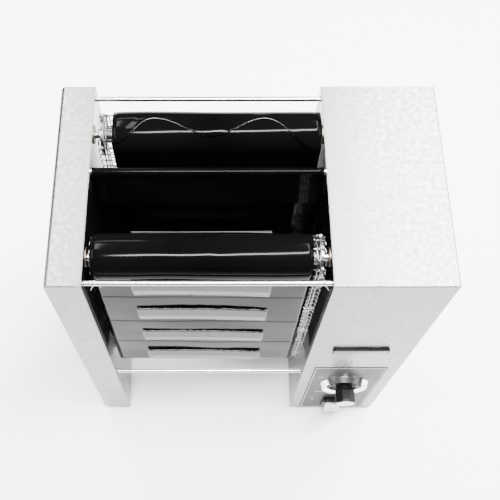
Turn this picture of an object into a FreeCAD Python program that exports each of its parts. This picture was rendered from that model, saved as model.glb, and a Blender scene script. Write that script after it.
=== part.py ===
import FreeCAD, Part
import math
import os

# A vertical contact conveyor toaster for buns, in millimetres.
# X runs to the right seen from the front, Y to the back and Z up. The origin is on the table,
# in the middle of the whole machine with its knob and cable gland.

V = FreeCAD.Vector
X_AXIS = V(1, 0, 0)
Y_AXIS = V(0, 1, 0)
Z_AXIS = V(0, 0, 1)

# Overall sizes
left_width = 44.0
gap_width = 288.0
right_width = 145.0
depth = 276.0
height = 581.0
foot_height = 13.0

# Sheet metal
cover_sheet = 1.0
inner_plate = 2.0
guard_sheet = 1.0
bend_radius = 5.0
edge_radius = 1.6
flange_width = 14.0
sheet_gap = 0.3

# Clearances
running = 0.05
loose = 0.4
clear = 1.0

# Tie rods between the housings
tie_radius = 3.175
tie_front_setback = 8.0
tie_rear_setback = 14.0
tie_top_drop = 8.0
tie_low_drop = 374.0
nut_width = 9.5
nut_height = 5.0
rod_overhang = 4.0
clip_wire = 1.6
clip_leg = 13.0

# Belts and their sprockets
belt_pitch = 12.7
belt_teeth = 12
belt_wire = 1.8
belt_end_gap = 7.5
edge_lane = 9.0
inner_lanes = 5
strand_width = 2.4
wrap_gap = 2.0
wrap_sheet = 0.6
wrap_width = 254.0
front_wrap_gap = 9.3
rear_wrap_gap = 4.6
shaft_centres = 313.0
idler_drop = 12.0
front_belt_setback = 42.5
rear_belt_setback = 211.0
sprocket_width = 3.5
sprocket_hole = 3.4
sprocket_hole_circle = 15.5
tooth_root = 5.0
tooth_tip = 2.6
hub_radius = 9.5
hub_width = 14.0
shaft_radius = 4.7625
bush_radius = 8.0
bush_flange_radius = 12.0
bush_flange = 1.6
bush_end = 3.0
shaft_end = 4.0

# Bands on the belt wraps
band_width = 165.0
band_height = 40.0
front_band_count = 7
rear_band_count = 8
band_ridge = 3.2
band_edge = 0.7
band_sheet = 0.9
front_band_lead = 76.5
rear_band_lead = 115.0
front_plain_run = 170.5
rear_plain_run = 79.0
front_lap_band = -36.0
band_steps = 8

# Backing plates that press the belts towards the platen
front_bow = 14.0
rear_bow = 2.0
backing_sheet = 1.5
backing_lead = 52.0
ramp_radius = 20.0
bar_radius = 4.0
ear_sheet = 2.0
ear_radius = 9.0
ear_rise = 11.0
bar_high_drop = 186.0
bar_low_drop = 270.0

# Platen
platen_setback = 150.0
platen_thickness = 30.0
platen_top_drop = 46.0
platen_height = 285.0
platen_corner = 3.0
bracket_sheet = 3.0
sheet_bar_radius = 4.0
apex_rise = 6.0
release_sheet = 0.6
release_gap = 0.4
release_hang = 6.0
element_radius = 4.0
element_legs = 4
element_side_gap = 30.0
element_edge_gap = 34.0
element_lead = 26.0
platen_bolt_radius = 3.0
capillary_radius = 1.2
capillary_gap = 5.5
bulb_length = 30.0

# Slot guards
guard_front = 8.0
guard_rise = 1.5
guard_height = 250.0

# Roller chain drive in the control housing
chain_pitch = 9.525
chain_teeth = 16
motor_teeth = 12
idler_teeth = 10
chain_plane = 15.0
chain_width = 9.0
chain_slot = 5.0
chain_thickness = 6.0
roller_diameter = 5.0
chain_sprocket_width = 4.2
chain_tooth_height = 2.2
chain_tooth_root = 2.4
chain_tooth_tip = 1.6
motor_setback = 120.0
motor_drop = 205.0
chain_idler_setback = 252.0
chain_idler_rise = 24.0
motor_shaft_radius = 5.0
stud_radius = 4.0
wheel_boss = 11.0

# Terminal block
terminal_side = 22.0
terminal_setback = 110.0
terminal_size = (66.0, 22.0, 18.0)
terminal_ways = 6
terminal_pitch = 10.8
terminal_well = 3.2
terminal_well_depth = 8.0
lead_radius = 2.0

# Gear motor
motor_plate = 3.0
motor_plate_gap = 8.0
motor_plate_margin = 12.0
motor_post_radius = 5.0
motor_post_inset = 8.0
gearbox_size = (44.0, 92.0, 74.0)
motor_radius = 33.0
motor_length = 48.0

# Front panel
label_sheet = 0.8
label_side = 16.0
label_bottom = 4.0
label_height = 249.0
badge_size = (80.0, 4.0, 17.0)
badge_height = 342.0
dial_height = 166.0
bezel_radius = 38.5
bezel_inner = 28.0
bezel_depth = 9.0
bezel_flange = 1.2
bezel_slope = 3.0
bezel_dish = 3.0
dial_sheet = 1.2
knob_radius = 16.8
knob_length = 33.0
knob_flats = 8
knob_skirt = 19.5
knob_cap = 1.0
knob_shaft_radius = 3.0
thermostat_size = (44.0, 34.0, 44.0)
lamp_height = 101.0
lamp_radius = 4.5
lamp_depth = 4.0
switch_side = 66.5
switch_height = 51.0
switch_size = (34.0, 46.0)
switch_guard = 9.0
switch_opening = (28.0, 38.0)
switch_body = 26.0
rocker_size = (26.0, 34.0)
rocker_depth = 15.0
rocker_tilt = 12.0

# Rear panel and what it carries
louvre_count = 9
louvre_width = 74.0
louvre_pitch = 12.0
louvre_depth = 3.0
louvre_low = 330.0
fan_size = 80.0
fan_depth = 25.0
fan_height = 190.0
fan_blades = 7
fan_bore = 37.5
fan_hub = 17.0
gland_radius = 11.0
gland_length = 10.0
gland_height = 60.0

# Feet and screws
foot_radius = 15.0
foot_inset = 30.0
vent_margin = 8.0
vent_foot_gap = 10.0
vent_corner = 4.0
screw_radius = 3.6
screw_head = 1.8

# Places that follow from the sizes
left_out = -(left_width + gap_width + right_width) / 2
left_in = left_out + left_width
right_in = left_in + gap_width
right_out = right_in + right_width
knob_gap = 0.6
front_reach = label_sheet + dial_sheet + knob_gap + knob_length
front = -(depth + front_reach + gland_length) / 2 + front_reach
back = front + depth
base = foot_height
top = base + height
belt_radius = belt_pitch * belt_teeth / (2 * math.pi)
idler_z = top - idler_drop
drive_z = idler_z - shaft_centres
platen_y = front + platen_setback
control_x = (right_in + right_out) / 2
sides = {"front": 1, "rear": -1}
belt_y = {"front": front + front_belt_setback, "rear": front + rear_belt_setback}
belt_bow = {"front": front_bow, "rear": rear_bow}
band_lead = {"front": front_band_lead, "rear": rear_band_lead}
band_count = {"front": front_band_count, "rear": rear_band_count}
plain_run = {"front": front_plain_run, "rear": rear_plain_run}
belt_left = left_in + belt_end_gap
belt_right = right_in - belt_end_gap
wrap_left = {"front": left_in + front_wrap_gap, "rear": right_in - rear_wrap_gap - wrap_width}


# Basic solids

def block(x0, x1, y0, y1, z0, z1):
    return Part.makeBox(x1 - x0, y1 - y0, z1 - z0, V(x0, y0, z0))


def rod(radius, x0, x1, y, z):
    return Part.makeCylinder(radius, x1 - x0, V(x0, y, z), X_AXIS)


def rod_y(radius, y0, y1, x, z):
    return Part.makeCylinder(radius, y1 - y0, V(x, y0, z), Y_AXIS)


def rod_z(radius, z0, z1, x, y):
    return Part.makeCylinder(radius, z1 - z0, V(x, y, z0), Z_AXIS)


def ring(outer, inner, x0, x1, y, z):
    return rod(outer, x0, x1, y, z).cut(rod(inner, x0 - 1, x1 + 1, y, z))


def fuse(shapes):
    shapes = list(shapes)
    if len(shapes) == 1:
        return shapes[0]
    return shapes[0].multiFuse(shapes[1:]).removeSplitter()


def cut(shape, tools):
    return shape.cut(list(tools))


def rounded(shape, radius, wanted):
    """Rounds the edges whose middle point passes the test."""
    edges = [e for e in shape.Edges if wanted(e.valueAt((e.FirstParameter + e.LastParameter) / 2), e)]
    return shape.makeFillet(radius, edges)


def prism(points, x0, x1):
    """A solid between two X planes on an outline of (y, z) points."""
    corners = [V(x0, y, z) for y, z in points]
    face = Part.Face(Part.makePolygon(corners + corners[:1]))
    return face.extrude(V(x1 - x0, 0, 0))


def prism_y(points, y0, y1):
    """A solid between two Y planes on an outline of (x, z) points."""
    corners = [V(x, y0, z) for x, z in points]
    face = Part.Face(Part.makePolygon(corners + corners[:1]))
    return face.extrude(V(0, y1 - y0, 0))


def hexagon(width, x0, x1, y, z):
    radius = width / 2 / math.cos(math.pi / 6)
    turns = [math.radians(60 * i + 30) for i in range(6)]
    return prism([(y + radius * math.cos(a), z + radius * math.sin(a)) for a in turns], x0, x1)


# Loops round sprockets

def loop(circles, offset=0.0):
    """Arcs and tangents round signed circles (y, z, r), taken anticlockwise, moved outwards."""
    rounds = [(complex(y, z), r + offset) for y, z, r in circles]
    tangents = []
    for i, (centre, radius) in enumerate(rounds):
        after, after_radius = rounds[(i + 1) % len(rounds)]
        apart = after - centre
        shrink = radius - after_radius
        length = math.sqrt(abs(apart) ** 2 - shrink ** 2)
        heading = apart * complex(length, shrink) / abs(apart) ** 2
        right = -1j * heading
        tangents.append((centre + radius * right, after + after_radius * right, right))
    pieces = []
    for i, (centre, radius) in enumerate(rounds):
        arrive = tangents[i - 1][2]
        leave = tangents[i][2]
        sign = 1 if radius > 0 else -1
        start = math.atan2(arrive.imag, arrive.real)
        sweep = (math.atan2(leave.imag, leave.real) - start) * sign % (2 * math.pi) * sign
        pieces.append(("arc", centre, radius, start, sweep))
        pieces.append(("line", tangents[i][0], tangents[i][1], tangents[i][2]))
    return pieces


def piece_length(piece):
    if piece[0] == "arc":
        return abs(piece[2] * piece[4])
    return abs(piece[2] - piece[1])


def loop_length(circles, offset=0.0):
    return sum(piece_length(p) for p in loop(circles, offset))


def spot(circles, along, outward=0.0, offset=0.0):
    """The point (y, z) at a distance along the loop, and the angle of its outward direction."""
    pieces = loop(circles, offset)
    along %= sum(piece_length(p) for p in pieces)
    for piece in pieces:
        length = piece_length(piece)
        if along <= length:
            break
        along -= length
    if piece[0] == "arc":
        turn = piece[3] + piece[4] * along / length
        normal = complex(math.cos(turn), math.sin(turn))
        point = piece[1] + piece[2] * normal
    else:
        normal = piece[3]
        point = piece[1] + (piece[2] - piece[1]) * along / length
    point += outward * normal
    return (point.real, point.imag), math.atan2(normal.imag, normal.real)


def loop_solid(circles, offset, x0, x1):
    """The solid inside a loop, between two X planes."""
    edges = []
    for piece in loop(circles, offset):
        if piece_length(piece) < 1e-6:
            continue
        if piece[0] == "line":
            ends = [V(x0, p.real, p.imag) for p in piece[1:3]]
            edges.append(Part.makeLine(*ends))
            continue
        centre, radius, start, sweep = piece[1:]
        turns = [start + sweep * share for share in (0, 0.5, 1)]
        points = [centre + radius * complex(math.cos(a), math.sin(a)) for a in turns]
        edges.append(Part.Arc(*[V(x0, p.real, p.imag) for p in points]).toShape())
    face = Part.Face(Part.Wire(edges))
    return face.extrude(V(x1 - x0, 0, 0))


def band(circles, inside, outside, x0, x1):
    """A closed band along a loop, from one outward offset to another."""
    return loop_solid(circles, outside, x0, x1).cut(loop_solid(circles, inside, x0 - 1, x1 + 1))


def turned_box(point, angle, x0, x1, radial, tangent):
    """A box at a loop's point, with its radial and tangential sizes centred there."""
    box = block(x0, x1, -radial / 2, radial / 2, -tangent / 2, tangent / 2)
    box.rotate(V(0, 0, 0), X_AXIS, math.degrees(angle))
    box.translate(V(0, *point))
    return box


def ladder(circles, pitch, bar, thickness, x0, x1, lanes):
    """A band with a window between each two crossbars, in each lane of X."""
    links = round(loop_length(circles) / pitch)
    step = loop_length(circles) / links
    windows = []
    for i in range(links):
        point, angle = spot(circles, (i + 0.5) * step)
        windows += [turned_box(point, angle, a, b, 3 * thickness, step - bar) for a, b in lanes]
    return cut(band(circles, -thickness / 2, thickness / 2, x0, x1), windows)


def window_angle(circles, pitch, number):
    """The direction of the window that is nearest the middle of a circle's wrapped arc."""
    length = loop_length(circles)
    step = length / round(length / pitch)
    pieces = loop(circles)
    middle = sum(piece_length(p) for p in pieces[:2 * number]) + piece_length(pieces[2 * number]) / 2
    along = (math.floor(middle / step) + 0.5) * step
    angle = spot(circles, along)[1]
    return angle if circles[number][2] > 0 else angle + math.pi


def sprocket(teeth, pitch_radius, height, root, tip, body_radius, x0, x1, centre, angle):
    """A toothed disc with one tooth in the given direction."""
    disc = rod(body_radius, x0, x1, *centre)
    shapes = [disc]
    inner = body_radius - 1
    outer = pitch_radius + height
    for i in range(teeth):
        turn = angle + 2 * math.pi * i / teeth
        tooth = prism([(inner, -root / 2), (pitch_radius, -root / 2), (outer, -tip / 2),
                       (outer, tip / 2), (pitch_radius, root / 2), (inner, root / 2)], x0, x1)
        tooth.rotate(V(0, 0, 0), X_AXIS, math.degrees(turn))
        tooth.translate(V(0, *centre))
        shapes.append(tooth)
    return fuse(shapes)


# Shapes of the two belts

def belt_circles(name):
    """The belt's loop: idler above, drive below, and the two bends of the backing plate."""
    side = sides[name]
    y = belt_y[name]
    press = y + side * (belt_radius + belt_bow[name] - ramp_radius)
    high = (press, idler_z - backing_lead, ramp_radius)
    low = (press, drive_z + backing_lead, ramp_radius)
    idler = (y, idler_z, belt_radius)
    drive = (y, drive_z, belt_radius)
    if side > 0:
        return [idler, drive, low, high]
    return [idler, high, low, drive]


def belt_lanes():
    """The X ranges of the belt's windows, between its strands."""
    inner = (belt_right - belt_left - 2 * edge_lane) / inner_lanes
    lines = [belt_left, belt_left + edge_lane]
    lines += [lines[1] + inner * (i + 1) for i in range(inner_lanes)] + [belt_right]
    half = strand_width / 2
    lanes = [(a + half, b - half) for a, b in zip(lines, lines[1:])]
    lanes[0] = (lines[0] + strand_width, lanes[0][1])
    lanes[-1] = (lanes[-1][0], lines[-1] - strand_width)
    return lanes


def sprocket_places():
    """The middle of each sprocket, in the outer lanes and in two of the inner ones."""
    lanes = belt_lanes()
    chosen = [lanes[0], lanes[2], lanes[-3], lanes[-1]]
    return [(a + b) / 2 for a, b in chosen]


def wire_belt(name):
    return ladder(belt_circles(name), belt_pitch, belt_wire, belt_wire, belt_left, belt_right, belt_lanes())


def belt_wrap(name):
    inside = belt_wire / 2 + wrap_gap
    x0 = wrap_left[name]
    return band(belt_circles(name), inside, inside + wrap_sheet, x0, x0 + wrap_width)


def wrap_band(name, start):
    """One raised band, a low ridge that follows the wrap."""
    circles = belt_circles(name)
    foot = belt_wire / 2 + wrap_gap + wrap_sheet + band_edge / 2
    under = []
    over = []
    for i in range(band_steps + 1):
        share = i / band_steps
        rise = band_edge + (band_ridge - band_edge) * (1 - abs(2 * share - 1))
        along = start + share * band_height
        under.append(spot(circles, along, foot)[0])
        over.append(spot(circles, along, foot + rise - band_edge + band_sheet)[0])
    x0 = wrap_left[name] + (wrap_width - band_width) / 2
    return prism(under + over[::-1], x0, x0 + band_width)


def wrap_bands(name):
    """Bands spread evenly round the belt, but for a plain run by the wrap's lap.

    The front wrap's last band holds its lap down.
    """
    pitch = (loop_length(belt_circles(name)) - plain_run[name]) / band_count[name]
    starts = [band_lead[name] + i * pitch for i in range(band_count[name])]
    if name == "front":
        starts.append(front_lap_band)
    return Part.makeCompound([wrap_band(name, s) for s in starts])


def belt_sprockets(name, number, z):
    """The toothed discs on one shaft, each with its hub and lightening holes."""
    angle = window_angle(belt_circles(name), belt_pitch, number)
    centre = (belt_y[name], z)
    body = belt_radius - belt_wire / 2 - loose
    height = belt_wire / 2 + wrap_gap - loose
    result = []
    for x in sprocket_places():
        disc = sprocket(belt_teeth, belt_radius, height, tooth_root, tooth_tip, body,
                        x - sprocket_width / 2, x + sprocket_width / 2, centre, angle)
        inward = 1 if x < (left_in + right_in) / 2 else -1
        x0, x1 = sorted([x - inward * sprocket_width / 2, x + inward * hub_width])
        hub = rod(hub_radius, x0, x1, *centre)
        tools = [rod(shaft_radius + running, x0 - 1, x1 + 1, *centre)]
        for turn in [math.radians(60 * i) for i in range(6)]:
            spot_y = centre[0] + sprocket_hole_circle * math.cos(turn)
            spot_z = centre[1] + sprocket_hole_circle * math.sin(turn)
            tools.append(rod(sprocket_hole, x0 - 1, x1 + 1, spot_y, spot_z))
        result.append(cut(fuse([disc, hub]), tools))
    return Part.makeCompound(result)


def drive_shaft(name):
    """The lower shaft, long enough on the right to carry its chain wheel."""
    far_end = chain_x + chain_width / 2 + shaft_end + 2
    return rod(shaft_radius, left_in - inner_plate - shaft_end, far_end, belt_y[name], drive_z)


def idler_shaft(name):
    return rod(shaft_radius, left_in - inner_plate - shaft_end, right_in + inner_plate + shaft_end,
               belt_y[name], idler_z)


def shaft_bushes():
    """Flanged bushes in both inner plates, for the four shafts."""
    result = []
    for name in sides:
        for z in (drive_z, idler_z):
            lift = guard_sheet if (name, z) == ("front", idler_z) else 0.0
            for face, out in ((left_in, -1), (right_in, 1)):
                result.append(shaft_bush(face, out, lift, (belt_y[name], z)))
    return Part.makeCompound(result)


def shaft_bush(face, out, lift, centre):
    """One bush, its flange lying on the plate or on the slot guard over it."""
    seat = face - out * lift
    body = sorted([seat - out * bush_flange, face + out * (inner_plate + bush_end)])
    flange = sorted([seat - out * bush_flange, seat])
    bush = fuse([rod(bush_radius, *body, *centre), rod(bush_flange_radius, *flange, *centre)])
    return bush.cut(rod(shaft_radius + running, body[0] - 1, body[1] + 1, *centre))


def backing_plate(name):
    """A plate behind the inner run, its ends bent back, with ears on two support bars."""
    side = sides[name]
    face = belt_y[name] + side * (belt_radius + belt_bow[name] - belt_wire / 2 - sheet_gap)
    back_face = face - side * backing_sheet
    high = idler_z - backing_lead
    low = drive_z + backing_lead
    lean = side * backing_lead / 6
    end = ear_rise + 1
    outline = [(face, high), (face, low), (face - lean, low - end), (back_face - lean, low - end),
               (back_face, low), (back_face, high), (back_face - lean, high + end), (face - lean, high + end)]
    inset = edge_lane + hub_width + sprocket_width + loose * 10
    x0 = belt_left + inset
    x1 = belt_right - inset
    shapes = [prism(outline, x0, x1)]
    bar_y = support_bar_y(name)
    holes = []
    for z in (top - bar_high_drop, top - bar_low_drop):
        holes.append(rod(bar_radius + running, x0 - 1, x1 + 1, bar_y, z))
        for x in (x0, (x0 + x1) / 2, x1 - ear_sheet):
            ear = [(back_face, z - ear_rise), (back_face, z + ear_rise),
                   (bar_y, z + ear_radius), (bar_y, z - ear_radius)]
            shapes += [prism(ear, x, x + ear_sheet), rod(ear_radius, x, x + ear_sheet, bar_y, z)]
    return cut(fuse(shapes), holes)


def support_bar_y(name):
    return belt_y[name]


def belt_support_bars():
    """Bars between the inner plates that carry the backing plates."""
    bars = []
    for name in sides:
        for drop in (bar_high_drop, bar_low_drop):
            bars.append(rod(bar_radius, left_in, right_in, support_bar_y(name), top - drop))
    return Part.makeCompound(bars)


# Chain drive

chain_x = right_in + chain_plane
chain_radius = chain_pitch * chain_teeth / (2 * math.pi)
motor_chain_radius = chain_pitch * motor_teeth / (2 * math.pi)
idler_chain_radius = chain_pitch * idler_teeth / (2 * math.pi)
motor_centre = (front + motor_setback, top - motor_drop)
chain_idler_centre = (front + chain_idler_setback, drive_z + chain_idler_rise)


def chain_circles():
    """Motor, front shaft, the rear shaft from outside, then the tensioner's wheel."""
    return [(*motor_centre, motor_chain_radius), (belt_y["front"], drive_z, chain_radius),
            (belt_y["rear"], drive_z, -chain_radius), (*chain_idler_centre, idler_chain_radius)]


def drive_chain():
    half = chain_slot / 2
    return ladder(chain_circles(), chain_pitch, roller_diameter, chain_thickness,
                  chain_x - chain_width / 2, chain_x + chain_width / 2, [(chain_x - half, chain_x + half)])


def chain_sprocket(number, teeth, radius, centre, bore, hub):
    """A chain wheel, one tooth in mesh, with its hub away from the inner plate."""
    angle = window_angle(chain_circles(), chain_pitch, number)
    half = chain_sprocket_width / 2
    body = radius - chain_thickness / 2 - loose
    wheel = sprocket(teeth, radius, chain_tooth_height, chain_tooth_root, chain_tooth_tip, body,
                     chain_x - half, chain_x + half, centre, angle)
    boss = rod(hub, chain_x - half, chain_x + chain_width / 2 + 3, *centre)
    return fuse([wheel, boss]).cut(rod(bore, chain_x - 30, chain_x + 30, *centre))


def motor_sprocket():
    """The motor's chain wheel with its output shaft, which turns in the gearbox."""
    wheel = chain_sprocket(0, motor_teeth, motor_chain_radius, motor_centre, motor_shaft_radius - 0.5, 9.0)
    shaft = rod(motor_shaft_radius, chain_x - chain_sprocket_width / 2, gearbox_x + 14, *motor_centre)
    return fuse([wheel, shaft])


plate_x = chain_x + chain_width / 2 + motor_plate_gap
gearbox_x = plate_x + motor_plate


def motor_bracket():
    """A plate for the gearbox on four posts, the two lower ones between the chain's runs."""
    y, z = motor_centre
    half_y = gearbox_size[1] / 2 + motor_plate_margin
    half_z = gearbox_size[2] / 2 + motor_plate_margin
    plate = block(plate_x, gearbox_x, y - half_y, y + half_y, z - half_z, z + half_z)
    posts = []
    for reach, rise in ((half_y - motor_post_inset, half_z), (motor_chain_radius, -half_z)):
        level = z + rise * (1 - motor_post_inset / half_z)
        for side in (-1, 1):
            posts.append(rod(motor_post_radius, right_in + inner_plate, plate_x, y + side * reach, level))
    hole = rod(motor_shaft_radius + 3 * clear, plate_x - 1, gearbox_x + 1, y, z)
    return fuse([plate] + posts).cut(hole)


def gear_motor():
    """The gearbox casting and the motor can behind it."""
    y, z = motor_centre
    sx, sy, sz = gearbox_size
    box = block(gearbox_x, gearbox_x + sx, y - sy / 2, y + sy / 2, z - sz / 2, z + sz / 2)
    box = rounded(box, 6.0, lambda p, e: abs(p.x - gearbox_x - sx / 2) < 1)
    box = box.cut(rod(motor_shaft_radius + running, gearbox_x - 1, gearbox_x + 16, y, z))
    motor_x = gearbox_x + sx
    can = rod(motor_radius, motor_x, motor_x + motor_length, y, z)
    can = rounded(can, 4.0, lambda p, e: p.x > motor_x + motor_length - 1 and e.Length > 50)
    return Part.makeCompound([box, can])


def chain_idler():
    """The tensioner's wheel."""
    return chain_sprocket(3, idler_teeth, idler_chain_radius, chain_idler_centre, stud_radius + running, 6.5)


def tensioner_bracket():
    """A strap on the inner plate with the stud that the tensioner's wheel turns on."""
    y, z = chain_idler_centre
    inner = right_in + inner_plate
    strap = block(inner, inner + 3, y - 10, y + 10, z - 12, z + 70)
    stud = rod(stud_radius, inner + 3, chain_x + chain_width / 2 + 8, y, z)
    head = rod(stud_radius + 3, chain_x + chain_width / 2 + 4, chain_x + chain_width / 2 + 8, y, z)
    collar = rod(stud_radius + 2.5, inner + 3, chain_x - chain_sprocket_width / 2 - 0.4, y, z)
    slots = [block(inner - 1, inner + 4, y - 2.5, y + 2.5, z + 24 * i, z + 24 * i + 14) for i in (1, 2)]
    return cut(fuse([strap, stud, head, collar]), slots)


# Housings

def inner_openings(face_in, x0, x1):
    """Holes through an inner plate for bushes, tie rods, the element and screws."""
    holes = []
    for name in sides:
        for z in (drive_z, idler_z):
            holes.append(rod(bush_radius, x0, x1, belt_y[name], z))
    for y, z in tie_places():
        holes.append(rod(tie_radius + running, x0, x1, y, z))
    return holes


def tie_places():
    """Near the top and below the belts, in front of them and behind."""
    return [(y, top - drop) for drop in (tie_top_drop, tie_low_drop)
            for y in (front + tie_front_setback, back - tie_rear_setback)]


def inner_side_plate(face, out):
    """A flat plate with a flange along its front and back, inside the cover."""
    x0, x1 = sorted([face, face + out * inner_plate])
    plate = block(x0, x1, front, back, base, top)
    f0, f1 = sorted([face + out * inner_plate / 2, face + out * (inner_plate + flange_width)])
    skin = cover_sheet + sheet_gap
    low = base + cover_sheet + sheet_gap
    high = top - cover_sheet - sheet_gap
    flanges = [block(f0, f1, front + skin, front + skin + cover_sheet, low, high),
               block(f0, f1, back - skin - cover_sheet, back - skin, low, high)]
    return fuse([plate] + flanges)


def left_inner_plate():
    plate = inner_side_plate(left_in, -1)
    small = [rod(2.0, left_in - 9, left_in + 1, back - 12, top - 49)]
    return cut(plate, inner_openings(left_in, left_in - inner_plate - 1, left_in + 1) + small)


def left_cover_vent(x1):
    """Window in the left cover's floor, between its feet."""
    foot_room = foot_inset + foot_radius + vent_foot_gap
    window = block(left_out + vent_margin, x1 - vent_margin, front + foot_room, back - foot_room,
                   base - 2, base + 2)
    return rounded(window, vent_corner, lambda p, e: abs(p.z - base) < 1)


def left_end_cover():
    """Five-sided cover: top, outer side, front, back and floor with its window, open towards the gap."""
    x1 = left_in - inner_plate
    outer = block(left_out, x1, front, back, base, top)
    middle = (front + back) / 2
    outer = rounded(outer, bend_radius, lambda p, e: abs(p.x - left_out) < 0.1 and abs(p.y - middle) < 1)
    outer = rounded(outer, edge_radius, lambda p, e: p.x < x1 - 1 and (p.y < front + 0.1 or p.y > back - 0.1))
    inner = block(left_out + cover_sheet, x1 + 1, front + cover_sheet, back - cover_sheet,
                  base + cover_sheet, top - cover_sheet)
    inner = rounded(inner, bend_radius - cover_sheet,
                    lambda p, e: abs(p.x - left_out - cover_sheet) < 0.1 and abs(p.y - middle) < 1)
    return cut(outer, [inner, left_cover_vent(x1)])


def control_housing_shell():
    """Top, front and outer side in one bent sheet, open behind, below and towards the gap."""
    x0 = right_in + inner_plate
    outer = block(x0, right_out, front, back, base, top)
    outer = rounded(outer, edge_radius, lambda p, e: p.x > x0 + 1 and (p.y < front + 0.1 or p.z > top - 0.1
                                                                    or p.x > right_out - 0.1)
                    and p.y < back - 0.1 and p.z > base + 0.1)
    inner = block(x0 - 1, right_out - cover_sheet, front + cover_sheet, back + 1, base - 1, top - cover_sheet)
    holes = [rod_y(knob_shaft_radius + 3, front - 1, front + 3, control_x, base + dial_height),
             rod_y(lamp_radius - 1, front - 1, front + 3, lamp_x, base + lamp_height),
             switch_hole(0.0)]
    return cut(outer, [inner] + holes)


def control_inner_plate():
    plate = inner_side_plate(right_in, 1)
    holes = inner_openings(right_in, right_in - 1, right_in + inner_plate + 1)
    for z in element_exits():
        holes.append(rod(element_radius + 1.5, right_in - 1, right_in + inner_plate + 1, platen_y, z))
    holes.append(rod(capillary_radius + clear, right_in - 1, right_in + inner_plate + 1,
                     platen_y, capillary_place()))
    holes.append(rod(2.0, right_in - 1, right_in + 9, front + 36, top - 422))
    return cut(plate, holes)


def control_base_pan():
    """The control housing's floor, with a rim turned up inside the shell."""
    x0 = right_in + inner_plate
    skin = cover_sheet + sheet_gap
    outer = block(x0 + sheet_gap, right_out - skin, front + skin + cover_sheet + sheet_gap,
                  back - skin - cover_sheet - sheet_gap, base, base + flange_width)
    hollow = block(x0 + sheet_gap + cover_sheet, right_out - skin - cover_sheet,
                   front + skin + 2 * cover_sheet + sheet_gap, back - skin - 2 * cover_sheet - sheet_gap,
                   base + cover_sheet, base + flange_width + 1)
    return outer.cut(hollow)


def control_rear_panel():
    """The back panel with pressed louvres, a fan grille and the gland's hole."""
    x0 = right_in + inner_plate + sheet_gap
    x1 = right_out - cover_sheet - sheet_gap
    z0 = base + sheet_gap
    z1 = top - cover_sheet - sheet_gap
    y0 = back - cover_sheet
    panel = block(x0, x1, y0, back, z0, z1)
    lip = block(x0 + flange_width, x1, back - flange_width, back - cover_sheet / 2, z1 - cover_sheet, z1)
    shapes = [panel, lip]
    slots = []
    for i in range(louvre_count):
        z = base + louvre_low + i * louvre_pitch
        tip = back + louvre_depth
        outline = [(back - 0.5, z + 7), (back - 0.5, z), (tip, z - 1.5), (tip, z)]
        hood = prism(outline, control_x - louvre_width / 2, control_x + louvre_width / 2)
        shapes.append(hood)
        slots.append(block(control_x - louvre_width / 2 + 1.5, control_x + louvre_width / 2 - 1.5,
                           y0 - 1, back + 1, z - 5, z - 1.8))
    grille = []
    reach = fan_bore - 2
    for i in range(-5, 6):
        z = base + fan_height + i * 6.2
        half = math.sqrt(reach ** 2 - (abs(i) * 6.2) ** 2)
        grille.append(block(control_x - half, control_x + half, y0 - 1, back + 1, z - 2, z + 2))
    gland = rod_y(gland_radius - 3, y0 - 1, back + 1, gland_x, base + gland_height)
    return cut(fuse(shapes), slots + grille + [gland])


gland_x = right_in + inner_plate + 30.0
lamp_x = right_in + switch_side - 1.0
switch_x = right_in + switch_side + 1.5


def switch_hole(grow):
    """The slot that the switch's body passes through."""
    half_x = rocker_size[0] / 2 + clear
    half_z = rocker_size[1] / 2 + clear
    z = base + switch_height
    return block(switch_x - half_x, switch_x + half_x, front - 2 + grow, front + 3, z - half_z, z + half_z)


def rounded_plate(x0, x1, y0, y1, z0, z1, radius):
    plate = block(x0, x1, y0, y1, z0, z1)
    return rounded(plate, radius, lambda p, e: abs(p.y - (y0 + y1) / 2) < 1e-3)


def control_label_plate():
    """The dark plate behind the controls."""
    plate = rounded_plate(right_in + label_side, right_out - label_side - 2, front - label_sheet, front,
                          base + label_bottom, base + label_bottom + label_height, 2.0)
    holes = [rod_y(knob_shaft_radius + 3, front - 2, front + 3, control_x, base + dial_height),
             rod_y(lamp_radius - 1, front - 2, front + 3, lamp_x, base + lamp_height),
             switch_hole(-1.0)]
    return cut(plate, holes)


def badge_plate():
    sx, sy, sz = badge_size
    x = control_x - 2
    plate = rounded_plate(x - sx / 2, x + sx / 2, front - sy, front, base + badge_height - sz / 2,
                          base + badge_height + sz / 2, 4.0)
    return plate.makeFillet(0.8, [e for e in plate.Edges if abs(e.BoundBox.YMax - front + sy) < 1e-3])


# Controls

def dial_bezel():
    """A bright pressed ring round the dial, sloping inwards."""
    y0 = front - label_sheet
    z = base + dial_height
    outline = [(bezel_radius, y0), (bezel_radius, y0 - bezel_flange),
               (bezel_radius - bezel_slope, y0 - bezel_depth), (bezel_inner, y0 - bezel_depth + bezel_dish),
               (bezel_inner, y0)]
    face = Part.Face(Part.makePolygon([V(control_x + r, y, z) for r, y in outline + outline[:1]]))
    return face.revolve(V(control_x, 0, z), Y_AXIS, 360)


def dial_plate():
    """The numbered disc inside the bezel."""
    y1 = front - label_sheet
    z = base + dial_height
    disc = rod_y(bezel_inner - sheet_gap, y1 - dial_sheet, y1, control_x, z)
    return disc.cut(rod_y(knob_shaft_radius + 3, y1 - 9, y1 + 9, control_x, z))


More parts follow.
